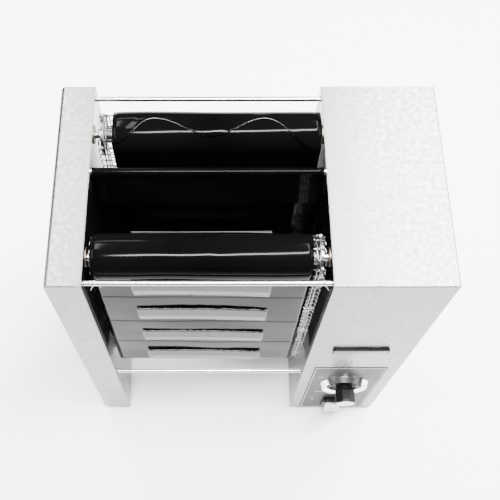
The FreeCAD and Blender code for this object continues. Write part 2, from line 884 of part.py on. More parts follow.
def control_knob():
    """A fluted knob with a skirt, a bright cap and its stem."""
    y1 = front - label_sheet - dial_sheet - knob_gap
    z = base + dial_height
    y0 = y1 - knob_length
    turns = [math.radians(360 / knob_flats * (i + 0.5)) for i in range(knob_flats)]
    outer = knob_radius / math.cos(math.pi / knob_flats)
    grip = prism_y([(control_x + outer * math.cos(a), z + outer * math.sin(a)) for a in turns],
                   y0 + knob_cap, y1 - 3)
    skirt = Part.makeCone(knob_radius, knob_skirt, 6, V(control_x, y1 - 6, z), Y_AXIS)
    cap = Part.makeCone(knob_radius - 3, knob_radius - 1.5, knob_cap, V(control_x, y0, z), Y_AXIS)
    stem = rod_y(knob_shaft_radius, y1 - 3, front + 12, control_x, z)
    return fuse([grip, skirt, cap, stem])


def thermostat_body():
    """The thermostat behind the dial, with a running bore for the knob's stem."""
    sx, sy, sz = thermostat_size
    z = base + dial_height
    y0 = front + cover_sheet
    box = block(control_x - sx / 2, control_x + sx / 2, y0, y0 + sy, z - sz / 2, z + sz / 2)
    tabs = [block(control_x - 8, control_x + 8, y0 + sy, y0 + sy + 10, z + d, z + d + 1.2) for d in (-10, 10)]
    return fuse([box] + tabs).cut(rod_y(knob_shaft_radius + running, y0 - 1, front + 13, control_x, z))


def pilot_lamp():
    """The lamp's lens, collar and body, in one moulding."""
    y = front - label_sheet
    z = base + lamp_height
    tip = V(lamp_x, y - lamp_depth, z)
    lens = Part.makeCone(lamp_radius - 1.5, lamp_radius - 0.8, lamp_depth - 1, tip, Y_AXIS)
    collar = rod_y(lamp_radius, y - 1.0, y, lamp_x, z)
    body = rod_y(lamp_radius - 1.0 - running, y, front + 24, lamp_x, z)
    return fuse([lens, collar, body])


def switch_frame():
    """The black guard round the rocker and the switch body behind the panel."""
    y1 = front - label_sheet
    z = base + switch_height
    y0 = y1 - switch_guard
    sx, sz = switch_size
    guard = rounded_plate(switch_x - sx / 2, switch_x + sx / 2, y0, y1, z - sz / 2, z + sz / 2, 8.0)
    guard = guard.makeFillet(3.0, [e for e in guard.Edges if abs(e.BoundBox.YMax - y0) < 1e-3])
    half_x, half_z = rocker_size[0] / 2, rocker_size[1] / 2
    wall = 0.8
    body = block(switch_x - half_x - wall, switch_x + half_x + wall, y1 - 1, front + switch_body,
                 z - half_z - wall, z + half_z + wall)
    well = block(switch_x - half_x - loose, switch_x + half_x + loose, y0 - 1, y1 + 8,
                 z - half_z - loose, z + half_z + loose)
    ox, oz = switch_opening
    mouth = block(switch_x - ox / 2, switch_x + ox / 2, y0 - 1, y1 - 1, z - oz / 2, z + oz / 2)
    return cut(fuse([guard, body]), [well, mouth])


def rocker_pivot():
    return (front - label_sheet - 1.0, base + switch_height)


def switch_rocker():
    """The rocker, two faces meeting in a shallow valley, tilted with its upper end in."""
    y, z = rocker_pivot()
    half = rocker_size[1] / 2 - 1.2
    face = rocker_depth - 1.0
    dip = face - 2.6
    outline = [(y + 1.5, z - 5), (y - face + 7, z - half), (y - face, z - half + 0.6), (y - dip, z),
               (y - face, z + half - 0.6), (y - face + 7, z + half), (y + 1.5, z + 5), (y + 4, z)]
    x0 = switch_x - rocker_size[0] / 2
    rocker = prism(outline, x0, x0 + rocker_size[0])
    rocker.rotate(V(0, y, z), X_AXIS, -rocker_tilt)
    return rocker


# Platen

def platen_faces():
    return platen_y - platen_thickness / 2, platen_y + platen_thickness / 2


def platen_ends():
    inset = bracket_sheet + 2 * sheet_gap
    return left_in + inset, right_in - inset


def platen_levels():
    high = top - platen_top_drop
    return high - platen_height, high


def element_rows():
    """The heights of the heating element's legs."""
    low, high = platen_levels()
    step = (high - low - 2 * element_edge_gap) / (element_legs - 1)
    return [low + element_edge_gap + i * step for i in range(element_legs)]


def element_exits():
    rows = element_rows()
    return rows[0], rows[-1]


def element_shape(radius, x_end):
    """The sheathed element: straight legs joined by half turns, both ends leaving to the right."""
    rows = element_rows()
    x0, x1 = platen_ends()
    turn = (rows[1] - rows[0]) / 2
    left = x0 + element_side_gap + turn
    right = x1 - element_side_gap - turn
    shapes = []
    for i, z in enumerate(rows):
        end = x_end if i in (0, len(rows) - 1) else right
        shapes.append(rod(radius, left, end, platen_y, z))
    for i, (a, b) in enumerate(zip(rows, rows[1:])):
        x = left if i % 2 == 0 else right
        bend = Part.makeTorus(turn, radius, V(x, platen_y, (a + b) / 2), Y_AXIS)
        keep = block(x - 2 * turn, x, platen_y - 20, platen_y + 20, a - 20, b + 20)
        if i % 2:
            keep.translate(V(2 * turn, 0, 0))
        shapes.append(bend.common(keep))
    return fuse(shapes)


def heating_element():
    return element_shape(element_radius, right_in + inner_plate + element_lead)


def platen_half(side):
    """Half of the cast platen, with its share of the element's groove and bolt holes."""
    y0, y1 = platen_faces()
    x0, x1 = platen_ends()
    z0, z1 = platen_levels()
    near, far = (y0, platen_y) if side == "front" else (platen_y, y1)
    half = block(x0, x1, near, far, z0, z1)
    outer = y0 if side == "front" else y1
    half = rounded(half, platen_corner, lambda p, e: abs(p.y - outer) < 0.1 and abs(p.x - (x0 + x1) / 2) < 1)
    groove = element_shape(element_radius + 0.1, x1 + 5)
    bulb = rod(capillary_radius + running, x1 - bulb_length, x1 + 1, platen_y, capillary_place())
    bolts = [rod(platen_bolt_radius, a, b, y, z) for a, b, y, z in platen_bolt_holes(side)]
    return cut(half, [groove, bulb] + bolts)


def platen_bolt_holes(side):
    """Blind holes in the platen's ends for the bracket screws."""
    y = platen_y + (-1 if side == "front" else 1) * platen_thickness / 4
    x0, x1 = platen_ends()
    levels = platen_bolt_levels()
    return [(x0 - 1, x0 + 14, y, z) for z in levels] + [(x1 - 14, x1 + 1, y, z) for z in levels]


def platen_bolt_levels():
    low, high = platen_levels()
    return low + 18, high - 18


def bar_z():
    return top + apex_rise - release_gap - release_sheet - sheet_bar_radius


def platen_brackets():
    """End plates on the inner side plates that hold the platen and the sheet's bar."""
    y0, y1 = platen_faces()
    low, high = platen_levels()
    result = []
    for face, out in ((left_in, 1), (right_in, -1)):
        x0, x1 = sorted([face, face + out * bracket_sheet])
        plate = prism([(y0 + 1, low), (y1 - 1, low), (y1 - 1, high), (platen_y + 5.2, bar_z()),
                       (platen_y - 5.2, bar_z()), (y0 + 1, high)], x0, x1)
        tools = [rod(sheet_bar_radius + running, x0 - 1, x1 + 1, platen_y, bar_z()),
                 block(x0 - 1, x1 + 1, platen_y - 3, platen_y + 3, bar_z(), bar_z() + 20)]
        for side in ("front", "rear"):
            for a, b, y, z in platen_bolt_holes(side):
                tools.append(rod(platen_bolt_radius + 0.3, x0 - 1, x1 + 1, y, z))
        for z in element_exits():
            tools.append(rod(element_radius + 1.5, x0 - 1, x1 + 1, platen_y, z))
        tools.append(rod(capillary_radius + clear, x0 - 1, x1 + 1, platen_y, capillary_place()))
        result.append(cut(plate, tools))
    return Part.makeCompound(result)


def release_sheet_bar():
    return rod(sheet_bar_radius, left_in, right_in, platen_y, bar_z())


def sheet_circles():
    """The outline that the release sheet follows: bar, front face, below the platen, rear face."""
    y0, y1 = platen_faces()
    low, high = platen_levels()
    r = platen_corner + release_gap
    near = y0 + platen_corner
    far = y1 - platen_corner
    return [(platen_y, bar_z(), sheet_bar_radius + release_gap), (near, high - platen_corner, r),
            (near, low, r), (far, low, r), (far, high - platen_corner, r)]


def platen_release_sheet():
    """A non-stick sheet hung over the bar, down both faces of the platen."""
    x0 = left_in + bracket_sheet + sheet_gap
    x1 = right_in - bracket_sheet - sheet_gap
    low = platen_levels()[0]
    circles = [(y, z - (release_hang + 8 if z == low else 0), r) for y, z, r in sheet_circles()]
    skirt = band(circles, 0, release_sheet, x0, x1)
    return skirt.cut(block(x0 - 1, x1 + 1, platen_y - 60, platen_y + 60, low - 60, low - release_hang))


def slot_guard(face, out):
    """A black side wall of the bun slot, lying on the inner plate."""
    x0, x1 = sorted([face, face + out * guard_sheet])
    wall = block(x0, x1, front + guard_front, platen_faces()[0] - 1, top - guard_height, top + guard_rise)
    y = belt_y["front"]
    tools = [rod(bush_radius + loose, x0 - 1, x1 + 1, y, idler_z)]
    tools += [rod(bar_radius + loose, x0 - 1, x1 + 1, support_bar_y("front"), top - bar_high_drop)]
    for tie_y, z in tie_places():
        tools.append(rod(tie_radius + clear, x0 - 1, x1 + 1, tie_y, z))
    return cut(wall, tools)


# Fasteners and feet

def tie_rods():
    reach = inner_plate + nut_height + rod_overhang
    ends = (left_in - reach, right_in + reach)
    return Part.makeCompound([rod(tie_radius, *ends, y, z) for y, z in tie_places()])


def tie_rod_nuts():
    """A nut outside each inner plate, at both ends of each tie rod."""
    nuts = []
    for y, z in tie_places():
        for x0 in (left_in - inner_plate - nut_height, right_in + inner_plate):
            nut = hexagon(nut_width, x0, x0 + nut_height, y, z)
            nuts.append(nut.cut(rod(tie_radius + running, x0 - 1, x0 + nut_height + 1, y, z)))
    return Part.makeCompound(nuts)


def rod_spring_clips():
    """Wire clips that hang on the upper front tie rod, close to its ends."""
    y, z = tie_places()[0]
    clips = []
    for x, lean in ((left_in + 13, 1), (right_in - 9, -1)):
        inner = tie_radius + running
        loop_ring = ring(inner + clip_wire, inner, x - clip_wire / 2, x + clip_wire / 2, y, z)
        legs = []
        for side in (-1, 1):
            leg = Part.makeCylinder(clip_wire / 2, clip_leg, V(x, y, z - inner - clip_wire / 2),
                                    V(side * 0.35 * lean, -0.1, -1))
            legs.append(leg)
        clips.append(fuse([loop_ring] + legs))
    return Part.makeCompound(clips)


def foot_places():
    """Two feet under the left housing and four under the control housing."""
    ys = (front + foot_inset, back - foot_inset)
    left = [((left_out + left_in) / 2, y) for y in ys]
    right = [(x, y) for x in (right_in + foot_inset, right_out - foot_inset) for y in ys]
    return left + right


def rubber_feet():
    feet = []
    for x, y in foot_places():
        foot = Part.makeCone(foot_radius - 2.5, foot_radius, foot_height, V(x, y, 0), Z_AXIS)
        recess = rod_z(6.0, -1, 5, x, y)
        feet.append(foot.cut(recess))
    return Part.makeCompound(feet)


def cover_screws():
    """Low round heads along the covers' edges."""
    heads = []
    for x in [right_in + 12 + i * (right_width - 24) / 3 for i in range(4)]:
        heads.append(rod_z(screw_radius / 2, top, top + 0.8, x, back - 7))
    for z in (top - 60, (base + top) / 2, base + 50):
        for x in (right_in + inner_plate + 9, right_out - 9):
            heads.append(rod_y(screw_radius, back, back + screw_head, x, z))
    for z in (top - 49, base + 60):
        heads.append(rod(screw_radius, left_in, left_in + screw_head, back - 12, z))
    return Part.makeCompound(heads)


# Electrical parts

def fan_place():
    return control_x, back - cover_sheet - fan_depth, base + fan_height


def fan_frame():
    """A square frame with a round bore, a motor hub and four struts."""
    x, y, z = fan_place()
    half = fan_size / 2
    y1 = y + fan_depth
    frame = rounded_plate(x - half, x + half, y, y1, z - half, z + half, 4.0)
    frame = frame.cut(rod_y(fan_bore, y - 1, y1 + 1, x, z))
    strut = block(x - fan_bore - 1, x + fan_bore + 1, y, y + 3, z - 2.5, z + 2.5)
    across = block(x - 2.5, x + 2.5, y, y + 3, z - fan_bore - 1, z + fan_bore + 1)
    seat = rod_y(fan_hub - 1, y, y + 3, x, z)
    pin = rod_y(2.5, y + 3, y + 12, x, z)
    return fuse([frame, strut, across, seat, pin])


def fan_rotor():
    """Hub with curved blades, running on the frame's pin."""
    x, y, z = fan_place()
    y0 = y + 4
    hub = rod_y(fan_hub, y0, y0 + fan_depth - 8, x, z)
    hub = hub.cut(rod_y(2.5 + running, y0 - 1, y0 + 9, x, z))
    blades = []
    for i in range(fan_blades):
        blade = Part.makePolygon([V(x + fan_hub - 1, y0 + 2, z - 9), V(x + fan_hub - 1, y0 + 4, z - 9),
                                  V(x + fan_hub - 1, y0 + 15, z + 9), V(x + fan_hub - 1, y0 + 13, z + 9),
                                  V(x + fan_hub - 1, y0 + 2, z - 9)])
        solid = Part.Face(blade).extrude(V(fan_bore - fan_hub - 1.5, 0, 0))
        solid.rotate(V(x, y, z), Y_AXIS, 360 / fan_blades * i)
        blades.append(solid)
    trimmed = rod_y(fan_bore - 1.5, y0, y0 + fan_depth, x, z)
    return fuse([hub] + [b.common(trimmed) for b in blades])


def cable_gland():
    """The gland for the mains lead, with its nut inside and an open bore."""
    z = base + gland_height
    body = rod_y(gland_radius, back, back + gland_length, gland_x, z)
    body = rounded(body, 2.0, lambda p, e: p.y > back + gland_length - 0.1 and e.Length > 30)
    neck = rod_y(gland_radius - 3 - running, back - cover_sheet - 12, back, gland_x, z)
    nut = rod_y(gland_radius, back - cover_sheet - 6, back - cover_sheet, gland_x, z)
    return fuse([body, neck, nut]).cut(rod_y(4.0, back - 30, back + 30, gland_x, z))


def terminal_block():
    """A six-way block on the floor of the control housing."""
    sx, sy, sz = terminal_size
    x0 = right_in + inner_plate + terminal_side
    y0 = back - terminal_setback
    z0 = base + cover_sheet
    body = block(x0, x0 + sx, y0, y0 + sy, z0, z0 + sz)
    floor = z0 + sz - terminal_well_depth
    wells = [rod_z(terminal_well, floor, z0 + sz + 1, *terminal_way(i)[:2]) for i in range(terminal_ways)]
    return cut(body, wells)


def terminal_way(number):
    """The mouth of one of the terminal block's wells."""
    sx, sy, sz = terminal_size
    first = right_in + inner_plate + terminal_side + (sx - terminal_pitch * (terminal_ways - 1)) / 2
    return first + terminal_pitch * number, back - terminal_setback + sy / 2, base + cover_sheet + sz


def bent_tube(points, radius):
    """Cylinders joined by balls along a route."""
    shapes = []
    for a, b in zip(points, points[1:]):
        shapes.append(Part.makeCylinder(radius, a.distanceToPoint(b), a, b - a))
    for p in points[1:-1]:
        shapes.append(Part.makeSphere(radius, p))
    return fuse(shapes)


def wiring_leads():
    """Leads from the terminal block to the motor, the switch and the thermostat."""
    far_x = right_out - 11
    motor_y, motor_z = motor_centre
    motor_end = gearbox_x + gearbox_size[0] + motor_length
    switch_z = base + switch_height
    dial_z = base + dial_height
    dial_y = front + cover_sheet + thermostat_size[1] + 11
    to_switch, to_dial, to_motor = [[V(*terminal_way(i)) + V(0, 0, rise) for rise in (0.5, high)]
                                    for i, high in ((0, 26), (2, 50), (4, 60))]
    to_motor += [V(far_x, motor_y, terminal_way(4)[2] + 80), V(far_x, motor_y, motor_z),
                 V(motor_end + 0.5, motor_y, motor_z)]
    to_switch += [V(switch_x, front + 60, switch_z), V(switch_x, front + switch_body + 1, switch_z)]
    to_dial += [V(control_x, front + 90, dial_z), V(control_x, dial_y, dial_z)]
    return Part.makeCompound([bent_tube(points, lead_radius) for points in (to_motor, to_switch, to_dial)])


def capillary_place():
    """The height at which the thermostat's bulb enters the platen."""
    return element_rows()[1] - element_edge_gap


def capillary_tube():
    """The thermostat's capillary, up behind the chain and into the platen."""
    x = right_in + inner_plate + capillary_gap
    z = base + dial_height + 12
    start = V(control_x - thermostat_size[0] / 2 - 0.5, front + 20, z)
    rise = capillary_place()
    points = [start, V(x, front + 20, z), V(x, platen_y - 16, rise), V(x, platen_y, rise),
              V(platen_ends()[1] - bulb_length + loose, platen_y, rise)]
    return bent_tube(points, capillary_radius)


def build():
    parts = {
        "left_end_cover": left_end_cover(),
        "left_inner_plate": left_inner_plate(),
        "control_housing_shell": control_housing_shell(),
        "control_inner_plate": control_inner_plate(),
        "control_rear_panel": control_rear_panel(),
        "control_base_pan": control_base_pan(),
        "control_label_plate": control_label_plate(),
        "badge_plate": badge_plate(),
        "tie_rods": tie_rods(),
        "tie_rod_nuts": tie_rod_nuts(),
        "rod_spring_clips": rod_spring_clips(),
        "rubber_feet": rubber_feet(),
        "cover_screws": cover_screws(),
        "platen_front_half": platen_half("front"),
        "platen_rear_half": platen_half("rear"),
        "heating_element": heating_element(),
        "platen_brackets": platen_brackets(),
        "release_sheet_bar": release_sheet_bar(),
        "platen_release_sheet": platen_release_sheet(),
        "slot_guard_left": slot_guard(left_in, 1),
        "slot_guard_right": slot_guard(right_in, -1),
        "shaft_bushes": shaft_bushes(),
        "belt_support_bars": belt_support_bars(),
        "drive_chain": drive_chain(),
        "front_chain_sprocket": chain_sprocket(1, chain_teeth, chain_radius, (belt_y["front"], drive_z),
                                               shaft_radius + running, wheel_boss),
        "rear_chain_sprocket": chain_sprocket(2, chain_teeth, chain_radius, (belt_y["rear"], drive_z),
                                              shaft_radius + running, wheel_boss),
        "motor_sprocket": motor_sprocket(),
        "chain_idler": chain_idler(),
        "tensioner_bracket": tensioner_bracket(),
        "motor_bracket": motor_bracket(),
        "gear_motor": gear_motor(),
        "dial_bezel": dial_bezel(),
        "dial_plate": dial_plate(),
        "control_knob": control_knob(),
        "thermostat_body": thermostat_body(),
        "capillary_tube": capillary_tube(),
        "pilot_lamp": pilot_lamp(),
        "switch_frame": switch_frame(),
        "switch_rocker": switch_rocker(),
        "fan_frame": fan_frame(),
        "fan_rotor": fan_rotor(),
        "cable_gland": cable_gland(),
        "terminal_block": terminal_block(),
        "wiring_leads": wiring_leads(),
    }
    for name in sides:
        lower = 1 if name == "front" else 3
        parts[name + "_wire_belt"] = wire_belt(name)
        parts[name + "_belt_wrap"] = belt_wrap(name)
        parts[name + "_wrap_bands"] = wrap_bands(name)
        parts[name + "_backing_plate"] = backing_plate(name)
        parts[name + "_drive_shaft"] = drive_shaft(name)
        parts[name + "_drive_sprockets"] = belt_sprockets(name, lower, drive_z)
        parts[name + "_idler_shaft"] = idler_shaft(name)
        parts[name + "_idler_sprockets"] = belt_sprockets(name, 0, idler_z)
    return parts


os.makedirs("parts", exist_ok=True)
for node, shape in build().items():
    shape.exportStep("parts/" + node + ".step")
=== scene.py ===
import math

import bmesh
import bpy
from mathutils import Matrix, Vector, noise
from mathutils.bvhtree import BVHTree


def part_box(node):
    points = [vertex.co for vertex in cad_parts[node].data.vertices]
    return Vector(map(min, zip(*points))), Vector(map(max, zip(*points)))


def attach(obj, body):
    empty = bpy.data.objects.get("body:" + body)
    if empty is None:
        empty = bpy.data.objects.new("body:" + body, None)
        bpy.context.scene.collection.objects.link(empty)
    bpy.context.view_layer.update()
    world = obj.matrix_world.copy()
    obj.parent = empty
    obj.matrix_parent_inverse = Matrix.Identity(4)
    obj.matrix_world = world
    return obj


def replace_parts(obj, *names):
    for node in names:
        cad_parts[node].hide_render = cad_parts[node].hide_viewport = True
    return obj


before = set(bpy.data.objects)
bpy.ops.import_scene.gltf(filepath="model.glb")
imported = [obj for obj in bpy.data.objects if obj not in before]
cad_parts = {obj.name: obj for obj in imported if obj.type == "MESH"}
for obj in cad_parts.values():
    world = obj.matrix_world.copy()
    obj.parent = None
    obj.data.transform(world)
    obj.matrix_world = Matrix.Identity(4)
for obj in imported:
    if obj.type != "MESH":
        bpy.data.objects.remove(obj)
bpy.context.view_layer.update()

bl_info = {
    "name": "Contact conveyor toaster",
    "version": (1, 0, 0),
    "blender": (4, 5, 0),
    "location": "3D View > Sidebar > Toaster",
    "description": "Dresses the packed toaster with its wire belts, cloth wraps, controls and finishes",
    "category": "Object",
}

# Sizes in metres; "along" is a distance round a belt's loop, from its top

SIDES = ("front", "rear")
BELT_PITCH = 0.0127
CHAIN_PITCH = 0.009525
WIRE_FLAT = 0.0009              # half the thickness of the CAD's belt
BELT_BEND = 0.020               # radius where a belt turns towards the platen
BELT_LEAD = 0.052               # from a shaft to the nearest bend
STRAND_SINK = 0.0003            # the strands' middle lies inside the CAD belt's
WRAP_ROWS, WRAP_COLUMNS = 560, 41
WRAP_LIFT = WIRE_FLAT + 0.002   # the cloth's distance from the belt's middle
WRAP_START = {"front": -0.150, "rear": -0.020}  # where the cloth's inner end lies
WRAP_REACH = {"front": (0.0, 0.002), "rear": (0.003, 0.0)}  # past the CAD's wrap, left and right
LAP_RISE = 0.0011               # how much further out the cloth lies on its own lap
LAP_RAMP = 0.015
FRONT_LAP = 0.025               # how far the front wrap's free edge reaches past its inner end
# The rear wrap's wavy free edge: share of its width, distance past the loop's end
REAR_EDGE = [(0.0, 0.062), (0.2, 0.033), (0.475, 0.054), (0.735, 0.033), (1.0, 0.072)]
REAR_CURL = 0.012               # length of the rear wrap's lifted free edge
WAVES = ((2.6, 10.0, 0.0, 1.1), (5.5, 26.0, 5.0, 0.16))  # across, along, seed, size in slacks
BAND_HEIGHT = 0.040
BAND_SKEW = 0.005               # how much lower a band's right end lies
BAND_CLOTH = 0.0009
BANDS = {"front": (0.0765, 7, 0.1705), "rear": (0.115, 8, 0.079)}  # first, number, plain stretch
FRONT_LAP_BAND = -0.036         # the band above the front lap, from the loop's end
STEP_DROP = 0.0525              # from a band's upper edge to the low step in the cloth below it
STEP_REACH = 0.087
STEP_RISE = 0.0004
PLATEN_CLOTH = 0.0005
SLAB_FACES = [(0, 1, 2, 3), (7, 6, 5, 4), (0, 4, 5, 1), (1, 5, 6, 2), (2, 6, 7, 3), (3, 7, 4, 0)]
DRAWN_UP = (1, 1, 0.02)
DRAWN_ACROSS = (0.02, 1, 1)


# Places taken from the frame

def corners(node):
    return tuple(Vector(c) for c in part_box(node))


def centre(node):
    low, high = corners(node)
    return (low + high) / 2


# Loops round the belts' sprockets and the chain's wheels, as complex numbers y + z i

def belt_circles(side):
    upper, lower = centre(side + "_idler_shaft"), centre(side + "_drive_shaft")
    low, high = corners(side + "_wire_belt")
    radius = high.z - WIRE_FLAT - upper.z
    top = (complex(upper.y, upper.z), radius)
    bottom = (complex(lower.y, lower.z), radius)
    front = side == "front"
    press = high.y - WIRE_FLAT - BELT_BEND if front else low.y + WIRE_FLAT + BELT_BEND
    bend_high = (complex(press, upper.z - BELT_LEAD), BELT_BEND)
    bend_low = (complex(press, lower.z + BELT_LEAD), BELT_BEND)
    return [top, bottom, bend_low, bend_high] if front else [top, bend_high, bend_low, bottom]


def chain_circles():
    """The chain's loop: motor, front shaft, the rear shaft from outside, then the tensioner."""
    def wheel(node, teeth, sign=1):
        place = centre(node)
        return complex(place.y, place.z), sign * teeth * CHAIN_PITCH / (2 * math.pi)
    return [wheel("motor_sprocket", 12), wheel("front_drive_shaft", 16),
            wheel("rear_drive_shaft", 16, -1), wheel("chain_idler", 10)]


def loop_pieces(circles):
    """Arcs and tangents round signed circles, anticlockwise seen from the right."""
    tangents = []
    for i, (middle, radius) in enumerate(circles):
        after, after_radius = circles[(i + 1) % len(circles)]
        apart = after - middle
        shrink = radius - after_radius
        length = math.sqrt(abs(apart) ** 2 - shrink ** 2)
        right = -1j * apart * complex(length, shrink) / abs(apart) ** 2
        tangents.append((middle + radius * right, after + after_radius * right, right))
    pieces = []
    for i, (middle, radius) in enumerate(circles):
        arrive, leave = tangents[i - 1][2], tangents[i][2]
        sign = 1 if radius > 0 else -1
        start = math.atan2(arrive.imag, arrive.real)
        sweep = (math.atan2(leave.imag, leave.real) - start) * sign % (2 * math.pi) * sign
        pieces.append((abs(radius * sweep), ("arc", middle, radius, start, sweep)))
        pieces.append((abs(tangents[i][1] - tangents[i][0]), ("line", *tangents[i])))
    return pieces


def belt_loop(side):
    return loop_pieces(belt_circles(side))


def loop_length(pieces):
    return sum(length for length, _ in pieces)


def loop_spot(pieces, along, outward=0.0):
    """The point at a distance along the loop, moved outwards, and its outward direction."""
    along %= loop_length(pieces)
    for length, piece in pieces:
        if along <= length:
            break
        along -= length
    share = along / length if length else 0.0
    if piece[0] == "arc":
        _, middle, radius, start, sweep = piece
        turn = start + sweep * share
        normal = complex(math.cos(turn), math.sin(turn))
        point = middle + radius * normal
    else:
        _, first, last, normal = piece
        point = first + (last - first) * share
    return point + outward * normal, normal


def point_at(x, spot):
    return Vector((x, spot.real, spot.imag))


def band_starts(side, around):
    """Where each band's upper edge lies along the loop."""
    lead, count, plain = BANDS[side]
    starts = [lead + (around - plain) / count * i for i in range(count)]
    return starts + [around + FRONT_LAP_BAND] if side == "front" else starts


def smooth_step(x):
    x = min(max(x, 0.0), 1.0)
    return x * x * (3 - 2 * x)


def through(points, x):
    """A smooth value between listed (place, value) pairs."""
    for (x0, v0), (x1, v1) in zip(points, points[1:]):
        if x <= x1:
            return v0 + (v1 - v0) * smooth_step((x - x0) / (x1 - x0))
    return points[-1][1]


# Shapes, as points and faces

def grid_faces(rows, columns, flip=False):
    faces = []
    for i in range(rows - 1):
        for j in range(columns - 1):
            a = i * columns + j
            quad = (a, a + 1, a + columns + 1, a + columns)
            faces.append(quad[::-1] if flip else quad)
    return faces


def ring_faces(rings, sides, closed):
    """Faces between rings of points; an open row of rings gets a face at each end."""
    faces = []
    for i in range(rings if closed else rings - 1):
        a, b = i * sides, (i + 1) % rings * sides
        for k in range(sides):
            n = (k + 1) % sides
            faces.append((a + k, a + n, b + n, b + k))
    if not closed:
        faces.append(tuple(range(sides))[::-1])
        faces.append(tuple((rings - 1) * sides + k for k in range(sides)))
    return faces


def turns(sides):
    """Cosine and sine of evenly spaced turns."""
    angles = [2 * math.pi * k / sides for k in range(sides)]
    return [(math.cos(angle), math.sin(angle)) for angle in angles]


def tube(path, radius, sides):
    """A round wire along a path, its ends closed."""
    points = []
    side = None
    for i, p in enumerate(path):
        heading = (path[min(i + 1, len(path) - 1)] - path[max(i - 1, 0)]).normalized()
        if side is None:
            side = heading.orthogonal().normalized()
        side = (side - heading * side.dot(heading)).normalized()
        across = heading.cross(side)
        points += [p + radius * (c * side + s * across) for c, s in turns(sides)]
    return points, ring_faces(len(path), sides, closed=False)


def lathe(profile, sides, middle):
    """A closed turned shape on (radius, y) pairs, about the Y axis through a middle."""
    points = [Vector((middle.x + radius * c, y, middle.z + radius * s))
              for radius, y in profile for c, s in turns(sides)]
    return points, ring_faces(len(profile), sides, closed=True)


def flat_bar(x0, x1, z0, z1, y):
    """A thin upright slab with its front face at y."""
    ring = ((x0, z0), (x1, z0), (x1, z1), (x0, z1))
    return [Vector((x, y + depth, z)) for depth in (0.0003, 0.0) for x, z in ring], SLAB_FACES


def flat_mark(face, turn, inner, outer, half):
    """A thin raised line on the dial, from one radius to another."""
    out = Vector((math.cos(turn), 0, math.sin(turn)))
    across = Vector((-math.sin(turn), 0, math.cos(turn))) * half
    ring = [face + out * inner + across, face + out * outer + across,
            face + out * outer - across, face + out * inner - across]
    return ring + [p + Vector((0, -0.00012, 0)) for p in ring], SLAB_FACES


def merged(parts):
    points = []
    faces = []
    for part_points, part_faces in parts:
        start = len(points)
        points += part_points
        faces += [tuple(start + i for i in face) for face in part_faces]
    return points, faces


# Meshes and objects

def with_settings(thing, **settings):
    for name, value in settings.items():
        setattr(thing, name, value)
    return thing


def linked(name, data):
    obj = bpy.data.objects.new(name, data)
    bpy.context.scene.collection.objects.link(obj)
    return obj


def new_object(name, mesh, finish, body="frame", smooth=True):
    """An object that rides a body, its one slot holding its finish."""
    obj = linked(name, mesh)
    mesh.materials.clear()
    mesh.materials.append(finish_named(finish))
    for polygon in mesh.polygons:
        polygon.use_smooth = smooth
    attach(obj, body)
    return obj


def mesh_from(name, points, faces):
    mesh = bpy.data.meshes.new(name)
    mesh.from_pydata([tuple(p) for p in points], [], faces)
    mesh.validate()
    return mesh


def outward_mesh(name, points, faces):
    """A closed mesh with its faces turned outwards."""
    mesh = mesh_from(name, points, faces)
    work = bmesh.new()
    work.from_mesh(mesh)
    bmesh.ops.remove_doubles(work, verts=work.verts, dist=1e-7)
    bmesh.ops.recalc_face_normals(work, faces=work.faces)
    work.to_mesh(mesh)
    work.free()
    return mesh


def solid(name, shape, finish, body="frame", smooth=True):
    """A closed shape as an object, its faces outwards."""
    return new_object(name, outward_mesh(name, *shape), finish, body, smooth)


def merged_copy(node, name):
    """A copy of a CAD node's triangles with its doubles merged."""
    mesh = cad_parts[node].data.copy()
    mesh.name = name
    work = bmesh.new()
    work.from_mesh(mesh)
    bmesh.ops.remove_doubles(work, verts=work.verts, dist=2e-6)
    bmesh.ops.dissolve_limit(work, angle_limit=0.02, verts=work.verts, edges=work.edges)
    work.to_mesh(mesh)
    work.free()
    return mesh


def plain_copy(obj):
    """An object's evaluated mesh."""
    graph = bpy.context.evaluated_depsgraph_get()
    graph.update()
    return bpy.data.meshes.new_from_object(obj.evaluated_get(graph))


def thicken(obj, thickness, offset=1.0):
    modifier = obj.modifiers.new("thickness", "SOLIDIFY")
    return with_settings(modifier, thickness=thickness, offset=offset)


def soften(obj, width, segments=2):
    with_settings(obj.modifiers.new("edges", "BEVEL"), width=width, segments=segments,
                  limit_method="ANGLE", angle_limit=0.5)


# Node trees

def add_node(tree, kind, inputs=(), **settings):
    """A node with its settings, and with values on its own sockets."""
    node = with_settings(tree.nodes.new(kind), **settings)
    for title, value in dict(inputs).items():
        node.inputs[title].default_value = value
    return node


def node_link(tree, source, output, target, entry):
    tree.links.new(source.outputs[output], target.inputs[entry])


